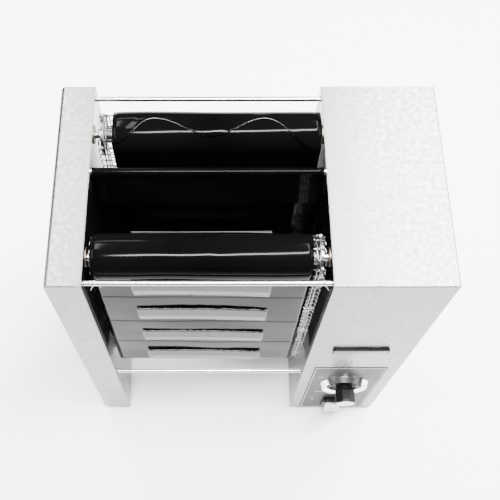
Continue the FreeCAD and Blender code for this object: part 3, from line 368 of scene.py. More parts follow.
def repeat_tree(name, axis, pivot, resample):
    """A tree that sets one shape along a path, turned by the path's direction attribute."""
    tree = bpy.data.node_groups.new(name, "GeometryNodeTree")
    for title, kind in (("Path", "Geometry"), ("Shape", "Object"), ("Count", "Int"),
                        ("Least size", "Float"), ("Tilt", "Float"), ("Seed", "Int"),
                        ("Finish", "Material")):
        tree.interface.new_socket(name=title, in_out="INPUT", socket_type="NodeSocket" + kind)
    tree.interface.new_socket(name="Result", in_out="OUTPUT", socket_type="NodeSocketGeometry")

    def node(*details, **settings):
        return add_node(tree, *details, **settings)

    entry = node("NodeGroupInput")
    shape = node("GeometryNodeObjectInfo")
    place = node("GeometryNodeInstanceOnPoints")
    facing = node("GeometryNodeInputNamedAttribute", {"Name": "facing"},
                  data_type="FLOAT_VECTOR")
    turn = node("FunctionNodeAlignRotationToVector", axis=axis, pivot_axis=pivot)
    tilt_low, tilt_high = node("ShaderNodeCombineXYZ"), node("ShaderNodeCombineXYZ")
    negative = node("ShaderNodeMath", {1: -1.0}, operation="MULTIPLY")
    lean = node("FunctionNodeRandomValue", data_type="FLOAT_VECTOR")
    as_turn = node("FunctionNodeEulerToRotation")
    leaned = node("FunctionNodeRotateRotation", rotation_space="LOCAL")
    size_least, size_most = 2, 3
    size = node("FunctionNodeRandomValue", {size_most: 1.0}, data_type="FLOAT")
    real = node("GeometryNodeRealizeInstances")
    finish = node("GeometryNodeSetMaterial")
    links = [
        (entry, "Shape", shape, "Object"),
        (facing, "Attribute", turn, "Vector"),
        (entry, "Tilt", negative, 0),
        *[(negative, "Value", tilt_low, i) for i in range(3)],
        *[(entry, "Tilt", tilt_high, i) for i in range(3)],
        (tilt_low, "Vector", lean, "Min"),
        (tilt_high, "Vector", lean, "Max"),
        (entry, "Seed", lean, "Seed"),
        (lean, "Value", as_turn, "Euler"),
        (turn, "Rotation", leaned, "Rotation"),
        (as_turn, "Rotation", leaned, "Rotate By"),
        (entry, "Least size", size, size_least),
        (entry, "Seed", size, "Seed"),
        (shape, "Geometry", place, "Instance"),
        (leaned, "Rotation", place, "Rotation"),
        (size, 1, place, "Scale"),
        (place, "Instances", real, "Geometry"),
        (real, "Geometry", finish, "Geometry"),
        (entry, "Finish", finish, "Material"),
        (finish, "Geometry", node("NodeGroupOutput"), "Result"),
    ]
    if resample:
        curve, spaced = node("GeometryNodeMeshToCurve"), node("GeometryNodeResampleCurve")
        links += [(entry, "Path", curve, "Mesh"), (curve, "Curve", spaced, "Curve"),
                  (entry, "Count", spaced, "Count"), (spaced, "Curve", place, "Points")]
    else:
        links.append((entry, "Path", place, "Points"))
    for link in links:
        node_link(tree, *link)
    return tree


def repeated(name, points, facing, shape, finish, edges=(), count=0, least=1.0,
             tilt=0.0, axis="Y", pivot="X", seed=3):
    """A shape repeated on points or along paths, as a plain mesh object."""
    key = "_".join(("repeat", axis, pivot, "path" if count else "points"))
    tree = bpy.data.node_groups.get(key) or repeat_tree(key, axis, pivot, bool(count))
    host_mesh = bpy.data.meshes.new(name + "_path")
    host_mesh.from_pydata([tuple(p) for p in points], edges, [])
    attribute = host_mesh.attributes.new("facing", "FLOAT_VECTOR", "POINT")
    attribute.data.foreach_set("vector", [c for f in facing for c in f])
    host = linked(name + "_path", host_mesh)
    modifier = host.modifiers.new("repeat", "NODES")
    modifier.node_group = tree
    wanted = {"Shape": shape, "Count": count, "Least size": least, "Tilt": tilt, "Seed": seed,
              "Finish": finish_named(finish)}
    for item in tree.interface.items_tree:
        if item.in_out == "INPUT" and item.name in wanted:
            modifier[item.identifier] = wanted[item.name]
    mesh = plain_copy(host)
    mesh.name = name
    host.modifiers.remove(modifier)
    bpy.data.objects.remove(host)
    if "facing" in mesh.attributes:
        mesh.attributes.remove(mesh.attributes["facing"])
    return new_object(name, mesh, finish)


def pattern_shape(name, points, faces):
    """A shape for a tree to repeat; it is removed after use."""
    return linked(name, outward_mesh(name, points, faces))


# Finishes

def noise_field(tree, scale, detail, stretch=(1, 1, 1)):
    mapping = add_node(tree, "ShaderNodeMapping", {"Scale": stretch})
    field = add_node(tree, "ShaderNodeTexNoise", {"Scale": scale, "Detail": detail})
    node_link(tree, add_node(tree, "ShaderNodeTexCoord"), "Object", mapping, "Vector")
    node_link(tree, mapping, "Vector", field, "Vector")
    return field


def mapped(tree, field, low, high):
    """A field's middle range stretched between two values."""
    ranged = add_node(tree, "ShaderNodeMapRange", {"From Min": 0.3, "From Max": 0.7,
                                                   "To Min": low, "To Max": high})
    node_link(tree, field, "Fac", ranged, "Value")
    return ranged.outputs[0]


def combined(tree, operation, first, second, clamp=False):
    node = add_node(tree, "ShaderNodeMath", operation=operation, use_clamp=clamp)
    tree.links.new(first, node.inputs[0])
    tree.links.new(second, node.inputs[1])
    return node.outputs[0]


def coloured(tree, shader, field, base, spread):
    """Lets the colour go from a darker to a lighter shade of its base."""
    mix = add_node(tree, "ShaderNodeMix", data_type="RGBA")
    dark, light = [s for s in mix.inputs if s.type == "RGBA"][:2]
    dark.default_value = (*(c * (1 - spread) for c in base), 1)
    light.default_value = (*(min(c * (1 + spread), 1.0) for c in base), 1)
    tree.links.new(mapped(tree, field, 0, 1), mix.inputs[0])
    colour = [s for s in mix.outputs if s.type == "RGBA"][0]
    tree.links.new(colour, shader.inputs["Base Color"])


def bumped(tree, shader, height, strength, distance):
    bump = add_node(tree, "ShaderNodeBump", {"Strength": strength, "Distance": distance})
    tree.links.new(height, bump.inputs["Height"])
    node_link(tree, bump, "Normal", shader, "Normal")


def metal(tree, shader, base, rough, cloud, spread=0.06, stretch=(1, 1, 1), scale=900, grain=0.10,
          bump=0.15, cloud_rough=0.05, shade=1.0):
    """Metal with a drawn or cast grain and soft clouds in its gloss."""
    shader.inputs["Metallic"].default_value = 1.0
    field = noise_field(tree, scale, 2.0, stretch)
    clouds = noise_field(tree, cloud, 3.0)
    coloured(tree, shader, field, [shade * c for c in base], grain)
    own = mapped(tree, field, rough - spread, rough + spread)
    wide = mapped(tree, clouds, -cloud_rough, cloud_rough)
    tree.links.new(combined(tree, "ADD", own, wide, clamp=True), shader.inputs["Roughness"])
    bumped(tree, shader, field.outputs["Fac"], bump, 0.00005)


def moulding(tree, shader, base, rough, scale=1400, bump=0.12, grain=0.12, distance=0.00006,
             ior=1.5):
    """Moulded, painted or rubber surface with a fine texture and handling marks."""
    spread = 0.05
    field = noise_field(tree, scale, 3.0)
    marks = noise_field(tree, 35.0, 4.0)
    coloured(tree, shader, marks, base, grain)
    tree.links.new(mapped(tree, marks, rough - spread, rough + spread), shader.inputs["Roughness"])
    shader.inputs["IOR"].default_value = ior
    bumped(tree, shader, field.outputs["Fac"], bump, distance)


def woven(tree, shader, base, rough, tint=0.3, weave=0.25, spread=0.08, ior=1.5):
    """Coated glass cloth: a fine square weave under a smooth, smeared film."""
    place = add_node(tree, "ShaderNodeTexCoord")
    waves = []
    for direction in ("X", "Z"):
        wave = add_node(tree, "ShaderNodeTexWave", {"Scale": 320.0, "Distortion": 0.4},
                        bands_direction=direction)
        node_link(tree, place, "Object", wave, "Vector")
        waves.append(wave.outputs["Fac"])
    smear = noise_field(tree, 9.0, 5.0, (1.0, 1.0, 2.2))
    fine = noise_field(tree, 260.0, 2.0)
    coloured(tree, shader, smear, base, tint)
    tree.links.new(mapped(tree, smear, rough - spread, rough + spread), shader.inputs["Roughness"])
    shader.inputs["IOR"].default_value = ior
    height = combined(tree, "ADD", combined(tree, "MULTIPLY", *waves), fine.outputs["Fac"])
    bumped(tree, shader, height, weave, 0.00004)


# Builder, colour (a name in ToasterColours, a grey or three values), roughness and the rest
FINISHES = {
    "stainless_sheet": (metal, "stainless", 0.33, dict(
        stretch=DRAWN_UP, scale=1100, bump=0.10, cloud=170.0, cloud_rough=0.09)),
    # The housings' stainless at three quarters for the inner plates: painted shade on the inward faces
    "stainless_inner": (metal, "stainless", 0.30, dict(
        stretch=DRAWN_UP, scale=1100, cloud=7.0, shade=0.75)),
    "bright_bar": (metal, 0.46, 0.25, dict(
        stretch=DRAWN_ACROSS, grain=0.03, spread=0.02, bump=0.02, cloud=12.0, cloud_rough=0.02)),
    "belt_wire": (metal, (0.19, 0.187, 0.183), 0.28, dict(
        grain=0.25, cloud=60.0, cloud_rough=0.1)),
    # Steel darkened as painted shade for the sprockets inside the belt loops; the chain's wheels share
    # it
    "sprocket_steel": (metal, (0.13, 0.125, 0.12), 0.34, dict(scale=700, grain=0.2, cloud=50.0)),
    "plated_sheet": (metal, (0.48, 0.48, 0.46), 0.40, dict(scale=500, cloud=20.0)),
    "cast_platen": (metal, 0.42, 0.50, dict(scale=350, grain=0.2, bump=0.5, cloud=15.0)),
    "bush_bronze": (metal, (0.12, 0.10, 0.075), 0.42, dict(bump=0.35, cloud=40.0)),
    "chain_steel": (metal, (0.20, 0.19, 0.18), 0.38, dict(grain=0.3, cloud=80.0)),
    "capillary_copper": (metal, (0.55, 0.27, 0.16), 0.30, dict(cloud=40.0)),
    "bright_trim": (metal, 0.80, 0.16, dict(
        scale=1200, grain=0.03, bump=0.04, spread=0.02, cloud=30.0, cloud_rough=0.03)),
    "badge_inlay": (metal, 0.13, 0.40, dict(stretch=DRAWN_ACROSS, scale=1200, cloud=20.0)),
    # Near-black sheet: painted shade standing in for the dark inside the belt loops
    "heat_tinted_sheet": (metal, (0.10, 0.095, 0.09), 0.45, dict(
        scale=500, grain=0.25, cloud=18.0, cloud_rough=0.1)),
    "release_cloth": (woven, "cloth", 0.09, dict(weave=0.06, spread=0.035, ior=1.10)),
    "band_cloth": (woven, "band", 0.26, dict(tint=0.18, weave=0.2, ior=1.3)),
    "black_lining": (woven, 0.001, 0.45, dict(tint=0.4, ior=1.08)),
    # Paler cloth for the wraps' rims: partly the cut cloth's edge, partly a painted highlight along the
    # lit free edge
    "raw_edge": (moulding, (0.40, 0.39, 0.37), 0.5, dict(scale=900, bump=0.2)),
    "frayed_glass": (moulding, (0.72, 0.71, 0.68), 0.45, dict(scale=900, bump=0.2)),
    "panel_grey": (moulding, "panel", 0.42, dict(bump=0.2, grain=0.08, ior=1.22)),
    "panel_line": (moulding, 0.62, 0.4, dict(grain=0.05)),
    "badge_black": (moulding, 0.006, 0.30, dict(ior=1.15)),
    "dial_black": (moulding, 0.005, 0.40, dict(ior=1.12)),
    "dial_figures": (moulding, (0.80, 0.80, 0.78), 0.45, dict(grain=0.05)),
    "knob_black": (moulding, "moulding", 0.34, dict(bump=0.08, ior=1.16)),
    "switch_black": (moulding, "moulding", 0.32, dict(bump=0.1, ior=1.25)),
    "rocker_white": (moulding, (0.66, 0.66, 0.64), 0.30, dict(grain=0.05, bump=0.06)),
    "lamp_lens": (moulding, (0.012, 0.002, 0.002), 0.16, dict(bump=0.05, ior=1.2)),
    "moulded_black": (moulding, 0.022, 0.48, dict(bump=0.4, distance=0.0001)),
    "moulded_pale": (moulding, (0.62, 0.61, 0.55), 0.42, dict(bump=0.2)),
    "motor_black": (moulding, 0.028, 0.42, dict(bump=0.5, distance=0.0001)),
    "lead_insulation": (moulding, 0.03, 0.55, dict(bump=0.3)),
    "foot_rubber": (moulding, 0.018, 0.62, dict(bump=0.5, distance=0.0001)),
}

NODE_FINISHES = {
    "stainless_sheet": ["left_end_cover", "control_housing_shell", "control_rear_panel",
                        # Inner plates get the darker copy of the stainless, a painted shade
                        "control_base_pan"],
    "stainless_inner": ["left_inner_plate", "control_inner_plate"],
    "black_lining": ["slot_guard_left", "slot_guard_right", "platen_brackets"],
    "panel_grey": ["control_label_plate"],
    "badge_black": ["badge_plate"],
    "bright_bar": ["tie_rods", "release_sheet_bar", "belt_support_bars", "front_drive_shaft",
                   "rear_drive_shaft", "front_idler_shaft", "rear_idler_shaft",
                   "heating_element", "tie_rod_nuts"],
    # Sprockets get the darkened steel, a painted shade
    "sprocket_steel": ["front_drive_sprockets", "rear_drive_sprockets", "front_idler_sprockets",
                       "rear_idler_sprockets", "front_chain_sprocket", "rear_chain_sprocket",
                       "motor_sprocket", "chain_idler"],
    # The backing plates are painted dark as the shade inside the belt loops
    "heat_tinted_sheet": ["front_backing_plate", "rear_backing_plate"],
    "plated_sheet": ["motor_bracket", "tensioner_bracket"],
    "cast_platen": ["platen_front_half", "platen_rear_half"],
    "bush_bronze": ["shaft_bushes"],
    "motor_black": ["gear_motor"],
    "bright_trim": ["dial_bezel"],
    "dial_black": ["dial_plate"],
    "moulded_black": ["thermostat_body", "fan_frame", "fan_rotor", "cable_gland"],
    "moulded_pale": ["terminal_block"],
    "lead_insulation": ["wiring_leads"],
    "capillary_copper": ["capillary_tube"],
    "foot_rubber": ["rubber_feet"],
    "knob_black": ["control_knob"],
    "switch_black": ["switch_frame"],
    "rocker_white": ["switch_rocker"],
    "lamp_lens": ["pilot_lamp"],
}


def finish_named(name):
    """A finish, made on first use from the scene's colours."""
    title = "worked_" + name
    material = bpy.data.materials.get(title)
    if material is None:
        build, base, rough, options = FINISHES[name]
        if isinstance(base, str):
            base = getattr(bpy.context.scene.toaster_colours, base)
        elif isinstance(base, float):
            base = (base,) * 3
        material = bpy.data.materials.new(title)
        material.use_nodes = True
        tree = material.node_tree
        build(tree, tree.nodes["Principled BSDF"], tuple(base), rough, **options)
    return material


# What a user would change

def length_setting(name, description, default, low, high):
    return bpy.props.FloatProperty(name=name, description=description, default=default,
                                   min=low, max=high, unit="LENGTH")


def colour_setting(name, description, *default):
    return bpy.props.FloatVectorProperty(name=name, description=description, default=default,
                                         subtype="COLOR", min=0, max=1)


class ToasterSizes(bpy.types.PropertyGroup):
    wire: length_setting("Belt wire", "Diameter of the belts' wire", 0.0018, 0.001, 0.003)
    cloth: length_setting("Cloth", "Thickness of the belts' wraps", 0.0006, 0.0002, 0.001)
    slack: length_setting("Slack", "How far the wraps stand off at their loosest",
                          0.0012, 0.0, 0.002)
    ridge: length_setting("Band ridge", "Height of the bands above the wraps",
                          0.0032, 0.001, 0.005)
    threads: bpy.props.IntProperty(
        name="Threads", description="Frayed threads along each band's upper edge",
        default=150, min=20, max=400)


class ToasterColours(bpy.types.PropertyGroup):
    stainless: colour_setting("Stainless", "Colour of the housings", 0.16, 0.16, 0.159)
    cloth: colour_setting("Cloth", "Colour of the non-stick cloth", 0.001, 0.001, 0.001)
    band: colour_setting("Bands", "Colour of the raised bands", 0.030, 0.030, 0.030)
    panel: colour_setting("Panel", "Colour of the plate behind the controls", 0.022, 0.022, 0.022)
    moulding: colour_setting("Mouldings", "Colour of the knob and switch", 0.004, 0.004, 0.004)


class ToasterOperator:
    bl_options = {"REGISTER", "UNDO"}

    def execute(self, context):
        self.make(context.scene.toaster_sizes)
        return {"FINISHED"}


class TOASTER_OT_finishes(ToasterOperator, bpy.types.Operator):
    """Gives every piece that keeps its CAD shape a worked finish"""
    bl_idname = "toaster.finishes"
    bl_label = "Finishes"

    def make(self, sizes):
        for finish, nodes in NODE_FINISHES.items():
            for node in nodes:
                for material_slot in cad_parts[node].material_slots:
                    material_slot.material = finish_named(finish)


class TOASTER_OT_wire_belts(ToasterOperator, bpy.types.Operator):
    """Makes both belts from hooked strands of round wire"""
    bl_idname = "toaster.wire_belts"
    bl_label = "Wire belts"

    def make(self, sizes):
        for side in SIDES:
            shape = pattern_shape("strand", *belt_strand(side, sizes.wire))
            loop = belt_loop(side)
            around = loop_length(loop)
            count = round(around / BELT_PITCH)
            points, facing = [], []
            for i in range(count):
                spot, normal = loop_spot(loop, i * around / count, -STRAND_SINK)
                points.append(point_at(0.0, spot))
                facing.append((0.0, -normal.imag, normal.real))
            obj = repeated(side + "_strands", points, facing, shape, "belt_wire")
            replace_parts(obj, side + "_wire_belt")
            bpy.data.objects.remove(shape)


def belt_strand(side, wire):
    """One strand: crossbars joined by hooks that reach round the next strand."""
    margin, inset, hooks = 0.009, 0.0012, 6
    low, high = corners(side + "_wire_belt")
    step = (high.x - low.x - 2 * margin) / (hooks - 1)
    lines = [low.x + inset] + [low.x + margin + step * i for i in range(hooks)] + [high.x - inset]
    half = BELT_PITCH / 2
    bar = wire * 0.5 - half
    reach = half + wire * 1.1
    gap = wire * 1.25
    rise = [(gap + 0.001, bar), (gap, bar + 0.001), (gap * 0.75, reach - 0.002),
            (gap * 0.45, reach - 0.0004)]
    path = []
    for i, x in enumerate(lines):
        if 0 < i < len(lines) - 1:
            hook = [(x - off, along) for off, along in rise] + [(x, reach)]
            hook += [(x + off, along) for off, along in rise[::-1]]
        else:
            inwards = -0.0008 if i else 0.0008
            hook = [(x, reach * 0.3), (x, bar * 0.5), (x + inwards, bar)][::-1 if i else 1]
        for px, along in hook:
            sag = 0.0006 * math.sin(math.pi * (along - bar) / (reach - bar))
            path.append(Vector((px, along, -sag)))
    return tube(path, wire / 2, 6)


class TOASTER_OT_wraps(ToasterOperator, bpy.types.Operator):
    """Wraps each belt in its sheet of coated cloth, with its raised bands"""
    bl_idname = "toaster.wraps"
    bl_label = "Belt wraps"

    def make(self, sizes):
        bent = ((0, 0, -0.0006), (0.0001, 0, 0.0006), (0.0002, 0.0002, 0.0016))
        thread = pattern_shape("thread", *tube([Vector(p) for p in bent], 0.00024, 3))
        for side in SIDES:
            mesh, flat = wrap_mesh(side, sizes)
            obj = new_object(side + "_wrap_cloth", mesh, "release_cloth")
            # The rim gets the paler finish, partly a painted highlight of the lit edge
            mesh.materials.append(finish_named("raw_edge"))
            thicken(obj, sizes.cloth).material_offset_rim = 1
            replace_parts(obj, side + "_belt_wrap")
            raised_bands(side, sizes, thread)
        bpy.data.objects.remove(thread)


def wrap_mesh(side, sizes):
    """The cloth from its inner end, once round the belt, to its lapped free edge."""
    loop = belt_loop(side)
    around = loop_length(loop)
    low, high = corners(side + "_belt_wrap")
    left, right = low.x - WRAP_REACH[side][0], high.x + WRAP_REACH[side][1]
    start = WRAP_START[side]
    shares = [j / (WRAP_COLUMNS - 1) for j in range(WRAP_COLUMNS)]
    edges = [through(REAR_EDGE, share) if side == "rear" else start + FRONT_LAP
             for share in shares]
    points = []
    for i in range(WRAP_ROWS):
        for share, edge in zip(shares, edges):
            end = around + edge
            along = start + (end - start) * i / (WRAP_ROWS - 1)
            lapped = smooth_step((along - (around + start - LAP_RAMP)) / LAP_RAMP)
            lift = WRAP_LIFT - sizes.slack * 0.05 + LAP_RISE * lapped
            lift += wrap_wave(side, share, along % around, around, sizes)
            if side == "rear":
                free = smooth_step((along - (end - REAR_CURL)) / REAR_CURL)
                lift += free * (0.0005 + 0.0006 * math.sin(share * 21.0))
            spot, _ = loop_spot(loop, along, lift)
            points.append(point_at(left + (right - left) * share, spot))
    mesh = mesh_from(side + "_wrap", points, grid_faces(WRAP_ROWS, WRAP_COLUMNS, flip=True))
    return mesh, (right - left, around + sum(edges) / len(edges) - start)


def wrap_wave(side, share, along, around, sizes):
    """How far the cloth stands off: soft waves, drooping ends and a low step below each band."""
    seed = 3.0 if side == "front" else 17.0
    wave = sum(noise.noise(Vector((share * across, along * down, seed + more))) * size
               for across, down, more, size in WAVES) * sizes.slack
    dent = ((share - 0.56) / 0.03) ** 2 + ((along - 0.040) / 0.012) ** 2
    wave -= sizes.slack * 0.22 * math.exp(-dent)
    ends = math.exp(-share / 0.022) + 0.7 * math.exp(-(1 - share) / 0.03)
    wave -= sizes.slack * 0.5 * ends
    step = 0.0
    for first in band_starts(side, around):
        below = along - first - STEP_DROP - BAND_SKEW * (share - 0.5)
        if 0 <= below < STEP_REACH:
            step = STEP_RISE * (1 - smooth_step(below / 0.05))
    return wave + step


def raised_bands(side, sizes, thread):
    """The raised bands on a wrap, with their open, frayed upper edges."""
    parts, points, edges, facing = [], [], [], []
    for number, start in enumerate(band_starts(side, loop_length(belt_loop(side)))):
        band, edge, heading = band_shape(side, start, number, sizes)
        parts.append(band)
        first = len(points)
        points += edge
        facing += heading
        edges += [(first + k, first + k + 1) for k in range(len(edge) - 1)]
    name = side + "_bands"
    bands = new_object(name, mesh_from(name, *merged(parts)), "band_cloth")
    thicken(bands, BAND_CLOTH)
    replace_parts(bands, side + "_wrap_bands")
    threads = repeated(side + "_frayed_threads", points, facing, thread, "frayed_glass",
                       edges=edges, count=sizes.threads, least=0.25,
                       tilt=0.5, axis="Z", pivot="AUTO", seed=11)
    return [bands, threads]


def band_shape(side, start, number, sizes):
    """One band as a thin arched strip, its upper edge uneven, and the edge's line."""
    rows, columns = 15, 67
    open_rise, closed_rise, thread_rise = 0.0007, 0.0003, 0.0004
    loop = belt_loop(side)
    low, high = corners(side + "_wrap_bands")
    foot = WRAP_LIFT + sizes.cloth + sizes.slack * 0.7
    points, edge, heading = [], [], []
    for i in range(rows):
        down = i / (rows - 1)
        for j in range(columns):
            share = j / (columns - 1)
            x = low.x + (high.x - low.x) * share
            ragged = noise.noise(Vector((x * 260.0, number * 3.7, 1.0))) * 0.0011
            ragged += noise.noise(Vector((x * 90.0, number * 5.1, 8.0))) * 0.0009
            droop = 0.0034 * (2 * share - 0.9) ** 2 + BAND_SKEW * (share - 0.5)
            along = start + droop + ragged * (1 - down) ** 6 + down * BAND_HEIGHT
            rise = open_rise + (sizes.ridge - open_rise) * down / 0.5
            if down > 0.5:
                rise = closed_rise + (sizes.ridge - closed_rise) * (1 - (down - 0.5) / 0.5)
            rise += noise.noise(Vector((x * 22.0, along * 30.0, number))) * 0.0002
            spot, normal = loop_spot(loop, along, foot + rise)
            points.append(point_at(x, spot))
            if i == 0:
                edge.append(points[-1] + point_at(0, normal) * thread_rise)
                heading.append((0.0, normal.imag, -normal.real))
    return (points, grid_faces(rows, columns, flip=True)), edge, heading


class TOASTER_OT_platen_sheet(ToasterOperator, bpy.types.Operator):
    """Hangs the non-stick sheet over its bar and down both faces of the platen"""
    bl_idname = "toaster.platen_sheet"
    bl_label = "Platen sheet"

    def make(self, sizes):
        columns, gap = 45, 0.0003
        low, high = corners("platen_release_sheet")
        bar = centre("release_sheet_bar")
        radius = high.z - bar.z - gap
        shoulder = corners("platen_front_half")[1].z - 0.003
        front = [complex(low.y + gap, low.z + 0.002), complex(low.y + gap, shoulder)]
        lean = math.atan2(bar.y - radius - low.y, bar.z - shoulder)
        arc = [complex(bar.y, bar.z) + radius * complex(-math.cos(a), math.sin(a))
               for a in [lean + (math.pi - 2 * lean) * k / 12 for k in range(13)]]
        rear = [complex(2 * bar.y - p.real, p.imag) for p in front[::-1]]
        line = densified(front + arc + rear, 0.004)
        points = []
        for p in line:
            out = 1 if p.real > bar.y else -1
            tent = smooth_step((p.imag - shoulder) / 0.01) * smooth_step((bar.z - p.imag) / 0.008)
            for j in range(columns):
                x = low.x + (high.x - low.x) * j / (columns - 1)
                wave = 0.5 + 0.5 * noise.noise(Vector((x * 9.0, p.imag * 12.0, out * 4.0)))
                points.append(point_at(x, p - out * (0.0015 * tent * wave - 0.0001 * wave)))
        mesh = mesh_from("platen_sheet", points, grid_faces(len(line), columns))
        obj = new_object("platen_cloth", mesh, "release_cloth")
        thicken(obj, PLATEN_CLOTH, 0.0)
        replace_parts(obj, "platen_release_sheet")


def densified(line, step):
    """The same polyline with points no further apart than a step."""
    result = [line[0]]
    for a, b in zip(line, line[1:]):
        count = max(1, math.ceil(abs(b - a) / step))
        result += [a + (b - a) * k / count for k in range(1, count + 1)]
    return result


class TOASTER_OT_chain(ToasterOperator, bpy.types.Operator):
    """Makes the drive's roller chain, link by link"""
    bl_idname = "toaster.chain"
    bl_label = "Roller chain"

    def make(self, sizes):
        pieces = loop_pieces(chain_circles())
        around = loop_length(pieces)
        links = round(around / CHAIN_PITCH / 2) * 2
        x = centre("drive_chain").x
        joined = []
        for kind, title in enumerate(("inner", "outer")):
            shape = pattern_shape("link", *chain_link(title == "inner"))
            points, facing = [], []
            for i in range(kind, links, 2):
                a, _ = loop_spot(pieces, i * around / links)
                b, _ = loop_spot(pieces, (i + 1) * around / links)
                points.append(point_at(x, (a + b) / 2))
                facing.append(point_at(0.0, b - a))
            joined.append(repeated("chain_links_" + title, points, facing, shape, "chain_steel"))
            bpy.data.objects.remove(shape)
        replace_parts(joined[0], "drive_chain")


def chain_link(inner):
    """Two waisted plates, with rollers between the inner ones and pins through the outer ones."""
    half = CHAIN_PITCH / 2
    plate_radius, waist, plate = 0.0039, 0.0028, 0.001
    plate_x, reach, radius = (0.0025, 0.0024, 0.0025) if inner else (0.0037, 0.0050, 0.0012)
    parts = []
    for sign in (-1, 1):
        outline = []
        for end in (1, -1):
            for k in range(7):
                turn = math.pi * (k / 6 - 0.5)
                outline.append((end * (half + plate_radius * math.cos(turn)),
                                end * plate_radius * math.sin(turn)))
            outline.append((0.0, end * waist))
        count = len(outline)
        points = [Vector((sign * x, a, b)) for x in (plate_x, plate_x + plate) for a, b in outline]
        faces = [tuple(range(count)), tuple(range(2 * count - 1, count - 1, -1))]
        faces += [(k, (k + 1) % count, count + (k + 1) % count, count + k) for k in range(count)]
        parts.append((points, faces))
    for y in (-half, half):
        parts.append(tube([Vector((-reach, y, 0)), Vector((reach, y, 0))], radius, 8))
    return merged(parts)


class TOASTER_OT_clips(ToasterOperator, bpy.types.Operator):
    """Bends the two wire clips on the upper front rod"""
    bl_idname = "toaster.clips"
    bl_label = "Wire clips"

    def make(self, sizes):
        inset, bend, wire = 0.0052, 0.0040, 0.0008
        low, high = corners("rod_spring_clips")
        z = high.z - bend - wire
        y = corners("tie_rods")[0].y + 0.0032
        parts = []
        for x, lean in ((low.x + inset, 1), (high.x - inset, -1)):
            path = []
            for k in range(-6, 7):
                turn = math.pi * (0.5 - k / 6 * 0.86)
                path.append(Vector((x + 0.0003 * k * lean, y + bend * math.cos(turn),
                                    z + bend * math.sin(turn))))
            feet = [path[end] + Vector((heading * lean * 0.0042, -0.0006, -0.0120))
                    for end, heading in ((0, -1), (-1, 1))]
            parts.append(tube([feet[0], *path, feet[1]], wire, 8))
        obj = solid("wire_clips", merged(parts), "bright_bar")
        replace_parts(obj, "rod_spring_clips")


class TOASTER_OT_screws(ToasterOperator, bpy.types.Operator):
    """Sets cross-headed screws where the covers are fixed"""
    bl_idname = "toaster.screws"
    bl_label = "Cover screws"

    def make(self, sizes):
        big = pattern_shape("screw", *screw_head(0.0036, 0.0018))
        small = pattern_shape("small_screw", *screw_head(0.0018, 0.0008))
        low, high = corners("control_housing_shell")
        levels = high.z - 0.060, (low.z + high.z) / 2, low.z + 0.050
        points = [Vector((x, high.y, z)) for z in levels for x in (low.x + 0.009, high.x - 0.009)]
        facing = [(0, 1, 0)] * len(points)
        plate = corners("left_inner_plate")[1]
        points += [Vector((plate.x, plate.y - 0.012, z))
                   for z in (plate.z - 0.049, levels[2] + 0.010)]
        facing += [(1, 0, 0)] * 2
        row = [Vector((low.x + 0.010 + i * (high.x - low.x - 0.022) / 3, high.y - 0.007, high.z))
               for i in range(4)]
        for name, spots, directions, shape in (("cover_fixings", points, facing, big),
                                               ("top_fixings", row, [(0, 0, 1)] * 4, small)):
            obj = repeated(name, spots, directions, shape, "bright_bar",
                           axis="Z", pivot="AUTO")
            if shape == big:
                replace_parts(obj, "cover_screws")
            bpy.data.objects.remove(shape)


def screw_head(radius, rise):
    """A domed head with a cross recess, standing on its face towards +Z."""
    sides = 24
    rings = [(1.0, -0.1), (1.0, 0.25), (0.93, 0.55), (0.78, 0.82), (0.55, 0.97), (0.30, 1.0),
             (0.12, 1.0)]
    half_slot, slot_reach, slot_depth = radius * 0.14, 0.6, 0.55
    points = []
    for share, height in rings:
        for c, s in turns(sides):
            x, y = radius * share * c, radius * share * s
            inside = min(abs(x), abs(y)) < half_slot and share < slot_reach
            points.append(Vector((x, y, rise * (height - slot_depth * inside))))
    return points, ring_faces(len(rings), sides, closed=False)


class TOASTER_OT_dial(ToasterOperator, bpy.types.Operator):
    """Adds the dial's figures and marks, and the fluted knob"""
    bl_idname = "toaster.dial"
    bl_label = "Dial and knob"

    def make(self, sizes):
        first, step, figure_radius = 225, 9, 0.0195
        face = centre("dial_plate")
        face.y = corners("dial_plate")[0].y - 0.0001
        marks = []
        for i in range(31):
            line = (0.0240, 0.0258, 0.0003) if i % 3 else (0.0225, 0.0262, 0.0005)
            marks.append(flat_mark(face, math.radians(first - step * i), *line))
        solid("dial_marks", merged(marks), "dial_figures", smooth=False)
        for i, figure in enumerate("123456"):
            turn = math.radians(first - 6 * step * i)
            place = face + figure_radius * Vector((math.cos(turn), 0, math.sin(turn)))
            figure_mesh("dial_figure_" + figure, figure, 0.0046, place, "dial_figures", "frame")
        body = "thermostat_knob"
        low, middle = corners("control_knob")[0], centre("control_knob")
        knob = solid("knob_moulding", knob_shape(middle, low.y), "knob_black", body, smooth=False)
        profile = [(0.0002, 0.0016), (0.0148, 0.0016), (0.0148, 0.0006), (0.0140, 0.0001),
                   (0.0110, 0.0003), (0.0002, 0.0004)]
        cap = lathe([(radius, low.y + y) for radius, y in profile], 64, middle)
        soften(solid("knob_cap", cap, "plated_sheet", body), 0.0003)
        top = Vector((middle.x, low.y + 0.0003, middle.z))
        pointer = flat_mark(top, math.radians(first), 0.0050, 0.0124, 0.0006)
        solid("knob_pointer", pointer, "dial_figures", body, smooth=False)
        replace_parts(knob, "control_knob")


def figure_mesh(name, text, size, place, finish, body, tilt=0.0):
    """A printed figure as a thin mesh facing the front."""
    curve = with_settings(bpy.data.curves.new(name, "FONT"), body=text, size=size,
                          align_x="CENTER", align_y="CENTER", extrude=0.00006)
    host = linked(name + "_text", curve)
    mesh = plain_copy(host)
    bpy.data.objects.remove(host)
    mesh.transform(Matrix.Translation(place) @ Matrix.Rotation(math.pi / 2 + tilt, 4, "X"))
    mesh.name = name
    new_object(name, mesh, finish, body, smooth=False)


